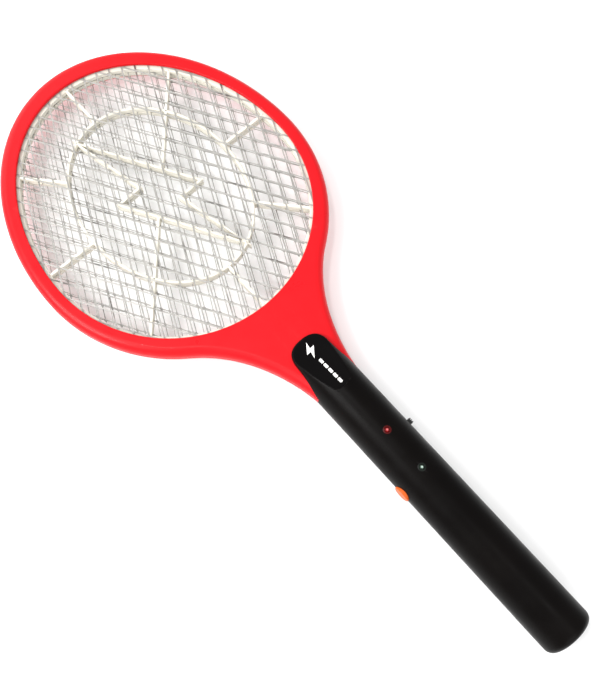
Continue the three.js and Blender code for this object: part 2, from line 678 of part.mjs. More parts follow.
/** A lead from the board's rear edge back to a battery terminal. */
function batteryLead(x) {
  const start = CIRCUIT.y - CIRCUIT.length / 2;
  const end = BATTERY.y + BATTERY.length / 2;
  const boardZ = (CIRCUIT.low + CIRCUIT.high) / 2;
  const bends = [[x, start - 3, boardZ], [x, end + 4, 4]];
  return wire([[x, start - GAP, boardZ], ...bends, [x, end + GAP, 3.5]], LEAD_RADIUS);
}

/** A lead from the board past the battery to a charging contact. */
function chargeLead(x) {
  const start = CIRCUIT.y - CIRCUIT.length / 2;
  const boardZ = (CIRCUIT.low + CIRCUIT.high) / 2;
  const z = CONTACT.z + CONTACT.thick / 2;
  const points = [[x, start - GAP, boardZ], [x, start - 8, boardZ], [x, BATTERY.y, boardZ + 0.2]];
  return wire([...points, [x, CONTACT.high + 8, boardZ - 0.5], [x, CONTACT.high + GAP, z]], LEAD_RADIUS);
}

// ---------- fasteners ----------

/** A pan-head screw pointing up from its seat, with a cross in the head. */
function screw({ shank, head, headHigh, length, seat }) {
  const under = seat - 0.1;
  const low = under - headHigh;
  const profile = [[0, low], [head * 0.8, low], [head, low + headHigh * 0.5], [head, under],
    [shank, under], [shank, under + length], [0, under + length]];
  const points = profile.map(([r, up]) => new THREE.Vector2(r, up));
  const made = solid(new THREE.LatheGeometry(points, 10).rotateX(Math.PI / 2));
  const arm = head * 0.55;
  const cross = block([-arm, -0.3, low - 1], [arm, 0.3, low + headHigh * 0.5]);
  return made.subtract(cross).subtract(cross.rotate([0, 0, 90]));
}

// ---------- assembly ----------

const swatter = new THREE.Group();

/** Adds one named piece to the swatter, made from a solid or a geometry, at a place. */
function add(name, made, finish, place = [0, 0, 0]) {
  const geometry = made.isBufferGeometry ? made : geometryOf(made);
  const mesh = new THREE.Mesh(geometry, finish);
  mesh.name = name;
  mesh.position.set(...place);
  swatter.add(mesh);
}

const ribs = separator();
add("front_frame", frontFrame(), RED);
add("rear_frame", rearFrame(), RED);
add("front_separator", ribs, IVORY);
add("rear_separator", mirrored(ribs), IVORY);
add("front_mesh", meshSheet(STACK.meshLow, STACK.meshHigh), MESH);
add("centre_grid", meshSheet(-STACK.grid, STACK.grid), MESH);
add("rear_mesh", meshSheet(-STACK.meshHigh, -STACK.meshLow), MESH);

add("handle_front_shell", frontShell(), BLACK);
add("handle_rear_shell", rearShell(), BLACK);

add("slide_switch_body", switchBody(), STEEL);
add("slide_switch_knob", switchKnob(), BLACK);
add("push_button_cap", buttonCap(), ORANGE);
add("push_button_plunger", buttonPlunger(), IVORY);
add("momentary_switch", momentarySwitch(), BLACK);
add("red_led", led(LED.redY), RED_LENS);
add("green_led", led(LED.greenY), GREEN_LENS);

add("circuit_board", circuitBoard(), BOARD);
add("transformer_core", transformerCore(), FERRITE);
add("transformer_winding", transformerWinding(), YELLOW);
add("storage_capacitor", storageCapacitor(), ORANGE);
add("battery", battery(), CELL);

add("plug_carriage", plugCarriage(), BLACK);
add("plug_thumb_pad", thumbPad(), BLACK);
for (const [side, x] of [["left", -PLUG.pinX], ["right", PLUG.pinX]]) {
  add(`plug_pin_${side}`, plugPin(x), NICKEL);
  add(`charging_contact_${side}`, contactStrip(x), BRASS);
  add(`charging_lead_${side}`, chargeLead(x * 0.92), LEAD);
  add(`battery_lead_${side}`, batteryLead(x * 0.66), LEAD);
}
add("grid_lead", headLead(LEADS_X[0], 0), LEAD);
add("front_mesh_lead", headLead(LEADS_X[1], (STACK.meshLow + STACK.meshHigh) / 2), BLACK);
add("rear_mesh_lead", headLead(LEADS_X[2], -(STACK.meshLow + STACK.meshHigh) / 2), BLACK);

const handleScrew = screw(SCREW);
HANDLE_SCREWS_Y.forEach((y, index) => {
  add(`handle_screw_${index + 1}`, handleScrew, STEEL, [0, y, 0]);
});
const frameScrew = screw(FRAME_SCREW);
frameScrewPlaces().forEach(([x, y], index) => {
  add(`frame_screw_${index + 1}`, frameScrew, STEEL, [x, y, 0]);
});

swatter.position.set(0, -(HEAD.y + HEAD.up + HANDLE.butt) / 2, -REAR_FLAT);
const part = new THREE.Group();
part.add(swatter);

export default part;
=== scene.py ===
"""The looks of an electric fly swatter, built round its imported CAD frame.

Shapes are given in millimetres about the handle's axis: x = 0 and z = 0 on the axis, +y towards the
head's tip, +z out of the front face. place() puts such a point into the frame, in metres.
"""
from math import asin, atan2, cos, hypot, pi, radians, sin, sqrt, tau

import bmesh
import bpy
from mathutils import Matrix, Vector


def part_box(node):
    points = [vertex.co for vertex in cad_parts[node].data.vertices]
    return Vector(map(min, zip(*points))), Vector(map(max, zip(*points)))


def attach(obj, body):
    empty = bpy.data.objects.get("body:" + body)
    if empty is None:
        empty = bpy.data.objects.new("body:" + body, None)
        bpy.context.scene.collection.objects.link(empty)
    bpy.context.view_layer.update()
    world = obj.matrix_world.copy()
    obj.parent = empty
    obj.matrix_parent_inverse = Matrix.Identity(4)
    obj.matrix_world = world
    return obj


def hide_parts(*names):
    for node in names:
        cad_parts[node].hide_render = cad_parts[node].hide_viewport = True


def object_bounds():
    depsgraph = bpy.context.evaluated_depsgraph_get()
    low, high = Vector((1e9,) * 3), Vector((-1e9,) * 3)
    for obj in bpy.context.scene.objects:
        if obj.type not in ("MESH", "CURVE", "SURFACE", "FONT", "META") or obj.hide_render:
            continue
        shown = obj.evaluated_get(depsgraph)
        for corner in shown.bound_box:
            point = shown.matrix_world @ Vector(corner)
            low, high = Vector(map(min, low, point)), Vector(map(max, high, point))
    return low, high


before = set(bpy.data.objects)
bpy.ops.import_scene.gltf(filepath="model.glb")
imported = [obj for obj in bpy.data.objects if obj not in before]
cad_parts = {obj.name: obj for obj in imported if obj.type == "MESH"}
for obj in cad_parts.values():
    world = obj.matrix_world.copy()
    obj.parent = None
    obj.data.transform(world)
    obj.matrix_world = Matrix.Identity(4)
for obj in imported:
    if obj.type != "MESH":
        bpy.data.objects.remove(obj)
cad_low, cad_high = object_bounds()
scene = bpy.context.scene

# ---------- driving dimensions, in millimetres ----------
MM = 0.001
GAP = 0.3

X, Y, Z = range(3)
POLE = 0.02  # how near to its axis a turned end comes
INSIDE, OUTSIDE = 12, 25  # distances from the axis inside and outside the handle's wall, for cutting it

HEAD = {"y": 130, "half": 107.6, "up": 136.3, "down": 112, "thick": 7.5, "round": 6, "join_y": 38.2}
SEAM = {"z": GAP / 2, "bevel": 0.3, "rise": 0.35, "width": 3}
FLARE = {"reach": 31.3, "half": 17.4, "inset": 2, "end": -50}
OPENING = {"y": 129, "half": 97, "up": 123.5, "down": 98}
LIP = {"fillet": 0.7, "flat": 0.8, "shoulder": 0.6, "groove": 3.8, "ceiling": 5.2}
RIM = {"inner": -2.2, "outer": 3.4, "bite": 1}
RIB = {"width": 2, "low": 0.6, "high": 4, "round": 0.55, "y": 143, "ring_x": 58, "ring_y": 73.5,
       "start": 18.6}
SPOKES_DEG = [0, 47.5, 90, 132.5, 180, 227.5, 270, 312.5]
BOLT = [(-20.8, 69), (27.5, -11), (8.4, -12)]
DIAMOND = {"long": 19.8, "short": 10.8, "strand": 0.9, "fine": 0.5, "thick": 0.3, "tilt": 9, "least": 0.3,
           "rows": 14, "columns": 22}
KNOT = {"long": 1.5, "short": 0.75, "flat": 0.5, "half_thick": 0.2}
EDGE = {"out": 3.0, "width": 1.4, "inset": 0.1}
MESH_Z = {"low": 4.3, "high": 4.9, "grid": 0.3}

HANDLE = {"radius": 17.4, "wall": 2, "butt": -250, "round": 5, "end_wall": 2.5, "mouth": -41.5, "flat": 16.6,
          "flat_blend": 0.25}
ACROSS, SIDE = 72, 3  # steps over a shell's section, and down each of its straight sides
CLOSE, ALONG = 0.35, 84  # the close step behind the tongue's root, and the steps along the bar
TONGUE = {"tip": -3.5, "root": -46, "half": 14.4, "low": 7.8, "round": 1.3, "round_from": -38,
          "over_red": 0.1, "widest": 0.985}
FACET = {"end": -46, "level": -54, "slope": 0.15, "bow": 9, "half": 11.5, "wall": 2.5, "blend": 0.15,
         "near": 0.08}
LED = {"radius": 1.5, "flange": 1.9, "top": 18, "red_y": -84.8, "green_y": -116, "hole": 1.7, "bezel": 2.7,
       "body": 5.4, "leg_x": 0.9, "leg": 0.25, "leg_end": 10.3}
SWITCH = {"y": -90, "travel": 4, "nub": 4, "reach": 20.2, "stem": 3, "half": 1, "pitch": 1.3}
RIDGE = [(-0.45, 0.75), (-0.28, 0.08), (0, 0), (0.28, 0.08), (0.45, 0.75)]  # along, and below the top
BUTTON = {"y": -120.2, "radius": 5.75, "face": 18.5, "flange": 6.6, "round": 0.9, "skirt": 13.6, "end": 12.6}
DISH = [(POLE, 0.32), (1.6, 0.28), (3.2, 0.14), (4.3, 0.02)]  # radius, and depth below the button's face
PLUG = {"x": 9.3, "radius": 2, "tip": -249.4, "end": -216.8, "round": 0.9, "travel": 19, "middle": -220.5,
        "stem": 6}
TRAY = {"half": 7, "low": -246, "high": -208, "floor": 14, "slot": 2.6, "wall": 1.5, "thick": 1.6,
        "under": 0.6}
SCREW = {"shank": 1.3, "head": 2.8, "high": 1.8, "length": 18, "seat": -9.8, "pocket": 3.1}
FRAME_SCREW = {"shank": 1.1, "head": 2.2, "high": 1.3, "length": 7.8, "seat": -3.6, "pocket": 2.5}
THREAD = {"pitch": 0.8, "deep": 0.3, "start": 1}
BOSS = {"radius": 3.2, "wall": 1.1, "floor": 1.6, "foot": 1.2, "recess": 0.6}

MARK = {"bolt_y": -13.5, "bar_top": -22.5, "dash": 2.6, "step": 4.4, "dashes": 5, "bar": 1, "film": 0.05}

# The handle's axis in the frame: its height, and where y = 0 of the shapes lies.
shell_low, shell_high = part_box("handle_front_shell")
AXIS_Z = shell_high.z - HANDLE["radius"] * MM
ORIGIN_Y = shell_low.y - HANDLE["butt"] * MM


def place(point):
    """A point about the handle's axis as a place in the frame."""
    x, y, z = point
    return Vector((x * MM, y * MM + ORIGIN_Y, z * MM + AXIS_Z))


def middle_of(node):
    """The middle of a CAD node's box, in millimetres about the handle's axis."""
    low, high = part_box(node)
    middle = (low + high) / 2
    return Vector((middle.x, middle.y - ORIGIN_Y, middle.z - AXIS_Z)) / MM


# ---------- shapes ----------
class Shape:
    """Points about the handle's axis, and the faces between them."""

    def __init__(self):
        self.points = []
        self.faces = []

    def rings(self, rings, loop=False, around=True, caps=False):
        """Joins rings of equally many points. loop joins the last ring to the first, around closes
        each ring on itself, and caps closes both ends."""
        start = len(self.points)
        size = len(rings[0])
        for ring in rings:
            self.points.extend(ring)
        for i in range(len(rings) if loop else len(rings) - 1):
            a = start + i * size
            b = start + (i + 1) % len(rings) * size
            for j in range(size if around else size - 1):
                k = (j + 1) % size
                self.faces.append((a + j, a + k, b + k, b + j))
        if caps:
            last = start + (len(rings) - 1) * size
            self.faces.append(tuple(range(start, start + size)))
            self.faces.append(tuple(range(last, last + size)))
        return self

    def prism(self, outline, low, high):
        """An outline in the xy plane, drawn up from low to high."""
        return self.rings([[(x, y, z) for x, y in outline] for z in (low, high)], caps=True)

    def block(self, low, high):
        """A box between two corners."""
        corners = [(low[0], low[1]), (high[0], low[1]), (high[0], high[1]), (low[0], high[1])]
        return self.prism(corners, low[2], high[2])

    def lathe(self, profile, centre, axis, sides):
        """A profile of (radius, height) points turned about an axis through a centre."""
        rings = []
        for radius, height in profile:
            ring = []
            for i in range(sides):
                angle = tau * i / sides
                turned = [radius * cos(angle), radius * sin(angle)]
                turned.insert(axis, height)
                ring.append(tuple(c + t for c, t in zip(centre, turned)))
            rings.append(ring)
        return self.rings(rings, caps=True)

    def rod(self, radius, low, high, centre, axis, sides):
        """A plain round bar from low to high along an axis."""
        return self.lathe([(radius, low), (radius, high)], centre, axis, sides)

    def sweep(self, path, section, closed):
        """A section of (offset to the left, z) points drawn along a path in the xy plane, mitred."""
        rings = []
        count = len(path)
        for i, here in enumerate(path):
            before = path[i - 1] if closed or i else here
            after = path[(i + 1) % count] if closed or i < count - 1 else here
            legs = [Vector(b) - Vector(a) for a, b in ((before, here), (here, after)) if a != b]
            sides = [Vector((-leg.y, leg.x)).normalized() for leg in legs]
            side = sum(sides, Vector((0, 0))).normalized()
            mitre = side / max(side.dot(sides[0]), 0.3)
            rings.append([(here[0] + mitre.x * o, here[1] + mitre.y * o, z) for o, z in section])
        return self.rings(rings, loop=closed, caps=not closed)


def mesh_of(name, shape):
    """The shape as a mesh in the frame, with doubled points merged and its faces turned outwards."""
    made = bmesh.new()
    verts = [made.verts.new(place(point)) for point in shape.points]
    for face in shape.faces:
        made.faces.new([verts[i] for i in face])
    bmesh.ops.remove_doubles(made, verts=made.verts, dist=2e-6)
    bmesh.ops.dissolve_degenerate(made, edges=made.edges, dist=1e-6)
    bmesh.ops.recalc_face_normals(made, faces=made.faces)
    mesh = bpy.data.meshes.new(name)
    made.to_mesh(mesh)
    made.free()
    return mesh


def linked(name, data):
    """A new object in the scene."""
    obj = bpy.data.objects.new(name, data)
    scene.collection.objects.link(obj)
    return obj


def piece(name, mesh, finish, body, stands_for=(), sharp=32):
    """One named piece of the swatter, riding on a body and standing for CAD nodes. Its shading is smooth,
    except over edges sharper than sharp degrees."""
    obj = linked(name, mesh)
    if finish.name not in mesh.materials:
        mesh.materials.append(finish)
    mesh.shade_smooth()
    mesh.set_sharp_from_angle(angle=radians(sharp))
    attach(obj, body)
    if stands_for:
        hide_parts(*stands_for)
    return obj


def combined(mesh, shape, operation):
    """The mesh with a shape added to it or taken out of it."""
    body = linked("body", mesh)
    tool = linked("tool", mesh_of("tool", shape))
    boolean = body.modifiers.new("boolean", "BOOLEAN")
    boolean.operation = operation
    boolean.solver = "EXACT"
    boolean.use_self = True
    boolean.object = tool
    made = bpy.data.meshes.new_from_object(body.evaluated_get(bpy.context.evaluated_depsgraph_get()))
    made.name = mesh.name
    bpy.data.objects.remove(body)
    bpy.data.objects.remove(tool)
    return made


def cut(mesh, *shapes):
    """The mesh with shapes taken out of it, one after another."""
    for shape in shapes:
        mesh = combined(mesh, shape, "DIFFERENCE")
    return mesh


def quarter(steps):
    """Angles over a quarter turn."""
    return [pi / 2 * i / steps for i in range(steps + 1)]


def rounded_section(half, low, high, radius):
    """A rib's section: flat foot, round shoulders. Offsets run from -half to half."""
    right = [(half - radius + radius * cos(a), high - radius + radius * sin(a)) for a in quarter(3)]
    left = [(-x, z) for x, z in reversed(right)]
    return [(half, low), *right, *left, (-half, low)]


def bezier(a, b, c, d, t):
    """The point at t, from 0 to 1, on a cubic curve with four control points."""
    weights = ((1 - t) ** 3, 3 * t * (1 - t) ** 2, 3 * t * t * (1 - t), t ** 3)
    return tuple(sum(w * p[i] for w, p in zip(weights, (a, b, c, d))) for i in range(2))


# ---------- head ----------
def egg_point(angle, offset):
    """Where the opening's edge, grown by an offset, lies at an angle from its middle."""
    across = OPENING["half"] + offset
    along = (OPENING["up"] if sin(angle) > 0 else OPENING["down"]) + offset
    reach = 1 / hypot(cos(angle) / across, sin(angle) / along)
    return reach * cos(angle), OPENING["y"] + reach * sin(angle)


def head_arc(along, angles):
    """Points of the head's outside above or below its middle."""
    return [(HEAD["half"] * cos(a), HEAD["y"] + along * sin(a)) for a in angles]


def head_outline():
    """The head's outside with its flare, anticlockwise from the right of the handle's mouth."""
    start = asin((HEAD["y"] - HEAD["join_y"]) / HEAD["down"])
    join = (HEAD["half"] * cos(start), HEAD["join_y"])
    slope = HEAD["half"] * sin(start) / (HEAD["down"] * cos(start))
    bend = (join[0] - slope * FLARE["reach"], join[1] - FLARE["reach"])
    foot = (FLARE["half"], FLARE["end"])
    rise = (FLARE["half"] - FLARE["inset"], FLARE["end"])
    flare = [bezier(foot, rise, bend, join, i / 60) for i in range(60)]
    side = [point for point in flare if point[1] > HANDLE["mouth"] + GAP]
    side += head_arc(HEAD["down"], [start * i / 50 - start for i in range(50)])
    side += head_arc(HEAD["up"], quarter(90)[:-1])
    left = [(-x, y) for x, y in reversed(side)]
    mouth_half, mouth_y = side[0]
    mouth = [(mouth_half * (i / 6 - 1), mouth_y) for i in range(1, 12)]
    return [*side, (0, HEAD["y"] + HEAD["up"]), *left, *mouth]


def outward(outline):
    """The way out at each point of the head's outline: along the mouth, sideways in step with x."""
    mouth_half, mouth_y = outline[0]
    ways = []
    for i, (x, y) in enumerate(outline):
        (x0, y0), (x1, y1) = outline[i - 1], outline[(i + 1) % len(outline)]
        at_mouth = abs(y - mouth_y) < GAP / 2
        ways.append(Vector((x / mouth_half, 0)) if at_mouth else Vector((y1 - y0, x0 - x1)).normalized())
    return ways


def frame_half(name, side):
    """Half of the red frame: a lip over the mesh, a groove behind it, and a round outer edge."""
    outline = head_outline()
    normals = outward(outline)
    angles = [atan2(y - OPENING["y"], x) for x, y in outline]
    fillet, top, seam, curve = LIP["fillet"], HEAD["thick"], SEAM["z"], HEAD["round"]
    inner = [(0, LIP["ceiling"])]
    inner += [(fillet * (1 - cos(a)), top - fillet * (1 - sin(a))) for a in quarter(5)]
    inner += [(fillet + LIP["flat"], top)]
    outer = [(curve + LIP["shoulder"], top)]
    outer += [(curve * (1 - sin(a)), top - curve + curve * cos(a)) for a in quarter(12)]
    outer += [(0, seam + SEAM["rise"]), (SEAM["bevel"], seam), (SEAM["width"], seam)]
    under = [(LIP["groove"], seam), (LIP["groove"], LIP["ceiling"])]

    def by_opening(profile):
        return [[(*egg_point(a, offset), side * z) for a in angles] for offset, z in profile]

    outside = [[(x - n.x * inset, y - n.y * inset, side * z) for (x, y), n in zip(outline, normals)]
               for inset, z in outer]
    return mesh_of(name, Shape().rings(by_opening(inner) + outside + by_opening(under), loop=True))


def around(count):
    """Angles over a whole turn."""
    return [tau * i / count for i in range(count)]


def separator(name, side):
    """One ivory separator: rim, oval ring, spokes, and a bolt-shaped rib in the middle."""
    shape = Shape()
    half = RIB["width"] / 2
    section = [(o, side * z) for o, z in rounded_section(half, RIB["low"], RIB["high"], RIB["round"])]
    rim_middle = (RIM["inner"] + RIM["outer"]) / 2
    rim_half = (RIM["outer"] - RIM["inner"]) / 2
    rim = rounded_section(rim_half, RIB["low"], RIB["high"], RIB["round"])
    shape.rings([[(*egg_point(a, rim_middle + o), side * z) for a in around(240)] for o, z in rim], loop=True)
    ring = [(RIB["ring_x"] * cos(a), RIB["y"] + RIB["ring_y"] * sin(a)) for a in around(144)]
    shape.sweep(ring, section, closed=True)
    for degrees in SPOKES_DEG:
        angle = radians(degrees)
        shape.sweep([on_ring(angle), to_rim(angle)], section, closed=False)
    for turn in (0, pi):
        angle = radians(SPOKES_DEG[1]) + turn
        start = (RIB["start"] * cos(angle), RIB["y"] + RIB["start"] * sin(angle))
        shape.sweep([start, on_ring(angle)], section, closed=False)
    corners = [*BOLT, *[(-x, -y) for x, y in BOLT]]
    shape.sweep([(x, y + RIB["y"]) for x, y in corners], section, closed=True)
    return mesh_of(name, shape)


def on_ring(angle):
    """Where a spoke leaves the oval ring."""
    reach = 1 / hypot(cos(angle) / RIB["ring_x"], sin(angle) / RIB["ring_y"])
    return reach * cos(angle), RIB["y"] + reach * sin(angle)


def to_rim(angle):
    """Where a spoke runs into the rim, found by halving."""
    near, far = 0.0, 200.0
    for _ in range(30):
        reach = (near + far) / 2
        x, y = reach * cos(angle), RIB["y"] + reach * sin(angle)
        inside = inside_egg(x, y, RIM["inner"] + RIM["bite"])
        near, far = (reach, far) if inside else (near, reach)
    return x, y


def inside_egg(x, y, offset):
    """True inside the opening's edge, grown by an offset."""
    along = (OPENING["up"] if y > OPENING["y"] else OPENING["down"]) + offset
    return (x / (OPENING["half"] + offset)) ** 2 + ((y - OPENING["y"]) / along) ** 2 < 1


def clipped(start, end, offset):
    """The part of a straight strand inside the egg, or None."""
    if not (inside_egg(*start, offset) or inside_egg(*end, offset)):
        return None
    ends = []
    for a, b in ((start, end), (end, start)):
        if inside_egg(*a, offset):
            ends.append(a)
            continue
        near, far = 0.0, 1.0
        for _ in range(12):
            t = (near + far) / 2
            x, y = (b[i] + (a[i] - b[i]) * t for i in range(2))
            near, far = (t, far) if inside_egg(x, y, offset) else (near, t)
        ends.append(tuple(b[i] + (a[i] - b[i]) * near for i in range(2)))
    return ends


def expanded_metal(name, low, high, turn, shift, width):
    """A sheet of expanded metal: tilted strands between the knots of a diamond pattern, and an edge."""
    shape = Shape()
    level = (low + high) / 2
    half_long, half_short = DIAMOND["long"] / 2, DIAMOND["short"] / 2
    ahead, aside = cos(radians(turn)), sin(radians(turn))
    long, short, flat = KNOT["long"], KNOT["short"], KNOT["flat"]
    hexagon = [(0, long), (-short, flat), (-short, -flat), (0, -long), (short, -flat), (short, flat)]

    def turned(x, y, middle):
        return middle[0] + x * ahead - y * aside, middle[1] + x * aside + y * ahead

    def knot(row, column):
        return turned(column * half_short + shift[0], row * half_long + shift[1], (0, OPENING["y"]))

    for row in range(-DIAMOND["rows"], DIAMOND["rows"] + 1):
        for column in range(-DIAMOND["columns"], DIAMOND["columns"] + 1):
            if (row + column) % 2:
                continue
            here = knot(row, column)
            for lean in (-1, 1):
                ends = clipped(here, knot(row + 1, column + lean), EDGE["out"])
                if ends:
                    strand(shape, ends, level, lean, width)
            if inside_egg(*here, EDGE["out"] - KNOT["long"]):
                plate = [turned(x, y, here) for x, y in hexagon]
                shape.prism(plate, level - KNOT["half_thick"], level + KNOT["half_thick"])
    outer, inner = EDGE["out"], EDGE["out"] - EDGE["width"]
    low, high = low + EDGE["inset"], high - EDGE["inset"]
    edge = [(inner, low), (outer, low), (outer, high), (inner, high)]
    shape.rings([[(*egg_point(a, o), z) for a in around(180)] for o, z in edge], loop=True)
    return mesh_of(name, shape)


def strand(shape, ends, level, lean, width):
    """One flat strand, tilted about its own length as expanded metal is."""
    (x0, y0), (x1, y1) = ends
    length = hypot(x1 - x0, y1 - y0)
    if length < DIAMOND["least"]:
        return
    side = Vector((-(y1 - y0) / length, (x1 - x0) / length, 0))
    up = Vector((0, 0, 1))
    tilt = radians(DIAMOND["tilt"]) * lean
    across = (side * cos(tilt) + up * sin(tilt)) * width / 2
    over = (up * cos(tilt) - side * sin(tilt)) * DIAMOND["thick"] / 2
    rings = []
    for x, y in ends:
        middle = Vector((x, y, level))
        rings.append([tuple(middle + across * a + over * b) for a, b in ((-1, -1), (1, -1), (1, 1), (-1, 1))])
    shape.rings(rings, caps=True)


def drilled(half):
    """The rear half of the frame with the frame screws' pockets and holes."""
    pockets, shanks = Shape(), Shape()
    for i in range(1, 7):
        screw = middle_of(f"frame_screw_{i}")
        pockets.rod(FRAME_SCREW["pocket"], -12, FRAME_SCREW["seat"], (screw.x, screw.y, 0), Z, 32)
        shanks.rod(FRAME_SCREW["shank"] + GAP, -10, 2, (screw.x, screw.y, 0), Z, 20)
    return cut(half, pockets, shanks)


# ---------- handle ----------
def tongue_plan():
    """The tongue's half width along y, from its tip back to its root."""
    side, half, root, tip = HANDLE["radius"] + 1, TONGUE["half"], TONGUE["root"], TONGUE["tip"]
    shoulder = (half - 0.6, root + 31)
    nose = [(0, tip), (half / 2, tip), (half - 1.4, tip - 2), shoulder]
    flank = [shoulder, (half, root + 18), (side - 2, root + 12), (side, root)]
    points = [bezier(*nose, i / 16) for i in range(16)] + [bezier(*flank, i / 60) for i in range(61)]
    return [(min(x, HANDLE["radius"]), y) for x, y in points]


def flare_half(y, outline):
    """The head outline's half width at y, on the flare."""
    return min((x for x, py in outline if x > 0 and abs(py - y) < 1.2), default=FLARE["half"])


def red_height(x, y, outline):
    """How high the red frame stands under the tongue."""
    fall = max(HEAD["round"] - (flare_half(y, outline) - abs(x)), 0)
    low = HEAD["thick"] - HEAD["round"]
    return low + sqrt(max(HEAD["round"] ** 2 - fall ** 2, 0))


def facet_height(y):
    """The height of the facet's slanting plane at y."""
    return HANDLE["radius"] - FACET["slope"] * (y - FACET["level"])


def facet_floor(x, y):
    """The height of the facet with the short steep wall round its bowed end."""
    across = min(abs(x) / FACET["half"], 1)
    end = FACET["end"] + FACET["bow"] * (1 - sqrt(1 - across * across))
    return facet_height(y) + FACET["wall"] * max(end - y, 0)


def soft_min(a, b, blend):
    """The lower of two heights, rounded off where they cross."""
    overlap = max(blend - abs(a - b), 0) / blend
    return min(a, b) - overlap * overlap * blend / 4


def edge_distance(x, y, plan):
    """How far a point lies inside the tongue's outline."""
    return min(hypot(abs(x) - px, y - py) for px, py in plan)


def crossing():
    """Angles over a shell's section, from one side over the crest to the other."""
    return [pi * (i / ACROSS - 0.5) for i in range(ACROSS + 1)]


def outer_section(half, y, low, plan, flat):
    """The outside of one shell across the handle at y, from the left seam over the top to the right."""
    radius = HANDLE["radius"]
    section = []
    for phi in crossing():
        x = half * sin(phi)
        z = sqrt(max(radius ** 2 - x * x, 0))
        if y > FACET["end"] - 2:
            z = soft_min(z, facet_floor(x, y), FACET["blend"])
        if flat:
            z = soft_min(z, flat, HANDLE["flat_blend"])
        if y > TONGUE["round_from"]:
            inside = TONGUE["round"] - min(edge_distance(x, y, plan), TONGUE["round"])
            z -= TONGUE["round"] - sqrt(TONGUE["round"] ** 2 - inside ** 2)
        section.append((x, max(z, low)))
    foot = section[-1][1]
    wall = [(half, foot + (low - foot) * i / SIDE) for i in range(1, SIDE + 1)]
    return [(-x, z) for x, z in reversed(wall)] + section + wall


def inner_section(radius, low, ceiling):
    """The inside of one shell, with as many points as the outside."""
    section = [(radius * sin(phi), max(min(radius * cos(phi), ceiling), low)) for phi in crossing()]
    return [(-radius, low)] * SIDE + section + [(radius, low)] * SIDE


def tongue_stations(half, y, plan, outline, flat):
    """The outside and underside of the tongue across y: its sides reach down to the red frame."""
    half = min(half, HANDLE["radius"] * TONGUE["widest"])

    def bottom(x):
        return min(red_height(x, y, outline) + TONGUE["over_red"], TONGUE["low"])

    low = bottom(half)
    under = [(half * sin(phi), bottom(half * sin(phi))) for phi in crossing()]
    return outer_section(half, y, low, plan, flat), [(-half, low)] * SIDE + under + [(half, low)] * SIDE


def handle_shell(name, side):
    """One handle shell: bullet-shaped tongue with its facet, round bar and rounded butt, hollow."""
    plan, outline = tongue_plan(), head_outline()
    fine = [(x0 + (x1 - x0) * i / 6, y0 + (y1 - y0) * i / 6)
            for (x0, y0), (x1, y1) in zip(plan[:40], plan[1:41]) for i in range(6)]
    radius, butt, curve = HANDLE["radius"], HANDLE["butt"], HANDLE["round"]
    bore, seam, mouth = radius - HANDLE["wall"], SEAM["z"], HANDLE["mouth"]
    root, ledge = TONGUE["root"], TONGUE["low"]
    flat = HANDLE["flat"] if side < 0 else None
    outer, inner = [], []

    def station(section, y, lining, lining_y):
        outer.append([(x, y, side * z) for x, z in section])
        inner.append([(x, lining_y, side * z) for x, z in lining])

    def bar_station(half, y, ceiling, lining_y):
        station(outer_section(half, y, seam, fine, flat), y, inner_section(bore, seam, ceiling), lining_y)

    for half, y in [*(point for point in plan if point[1] > mouth), (radius, mouth)]:
        outside, under = tongue_stations(half, y, fine, outline, flat)
        station(outside, y, under, y)
    bar_station(radius, mouth, ledge, mouth)
    for half, y in plan:
        if root < y < mouth:
            bar_station(half, y, ledge, y)
    bar_station(radius, root, ledge, root)
    for i in range(1, 5):
        bar_station(radius, root - CLOSE * i, radius, root)
    bar_station(radius, root - 2.2, radius, root - 2.2)
    start = root - 4
    length = start - (butt + curve)
    for i in range(ALONG + 1):
        y = start - i * length / ALONG
        bar_station(radius, y, radius, y)
    full = outer_section(radius, butt, seam, fine, flat)
    lining = inner_section(bore, seam, radius)
    end = butt + HANDLE["end_wall"]
    for angle in quarter(8)[1:]:
        scale = (radius - curve + curve * cos(angle)) / radius
        y = butt + curve - curve * sin(angle)
        station(scaled(full, scale, seam), y, lining, max(y, end))
    for scale in (0.97, 0.5, 0):
        station(scaled(full, scale * (radius - curve) / radius, seam), butt, scaled(lining, scale, seam), end)
    shape = Shape().rings(outer, around=False).rings(inner, around=False)
    size, offset = len(outer[0]), len(outer) * len(outer[0])
    for i in range(len(outer) - 1):
        for edge in (0, size - 1):
            a, b = i * size + edge, (i + 1) * size + edge
            shape.faces.append((a, b, b + offset, a + offset))
    for j in range(size - 1):
        shape.faces.append((j, j + 1, j + 1 + offset, j + offset))
    return mesh_of(name, shape)


def scaled(section, scale, low):
    """A section drawn in towards the axis, for the butt's round end."""
    return [(x * scale, max(z * scale, low)) for x, z in section]


def on_facet(centre):
    """True for a place on the tongue's slanting facet, given in the frame."""
    y, z = (centre.y - ORIGIN_Y) / MM, (centre.z - AXIS_Z) / MM
    return y > FACET["end"] - 1 and abs(z - facet_height(y)) < FACET["near"]


def side_openings():
    """The switch's slot, the button's hole and the holes for the charging pins."""
    stem, half, y = SWITCH["stem"] / 2 + GAP, SWITCH["half"] + GAP, SWITCH["y"]
    shape = Shape().block((INSIDE, y - SWITCH["travel"] - stem, -half), (OUTSIDE, y + stem, half))
    shape.rod(BUTTON["radius"] + GAP, -OUTSIDE, -INSIDE, (0, BUTTON["y"], 0), X, 64)
    butt = HANDLE["butt"]
    for x in (-PLUG["x"], PLUG["x"]):
        shape.rod(PLUG["radius"] + GAP, butt - 5, butt + 8, (x, 0, 0), Y, 32)
    return shape


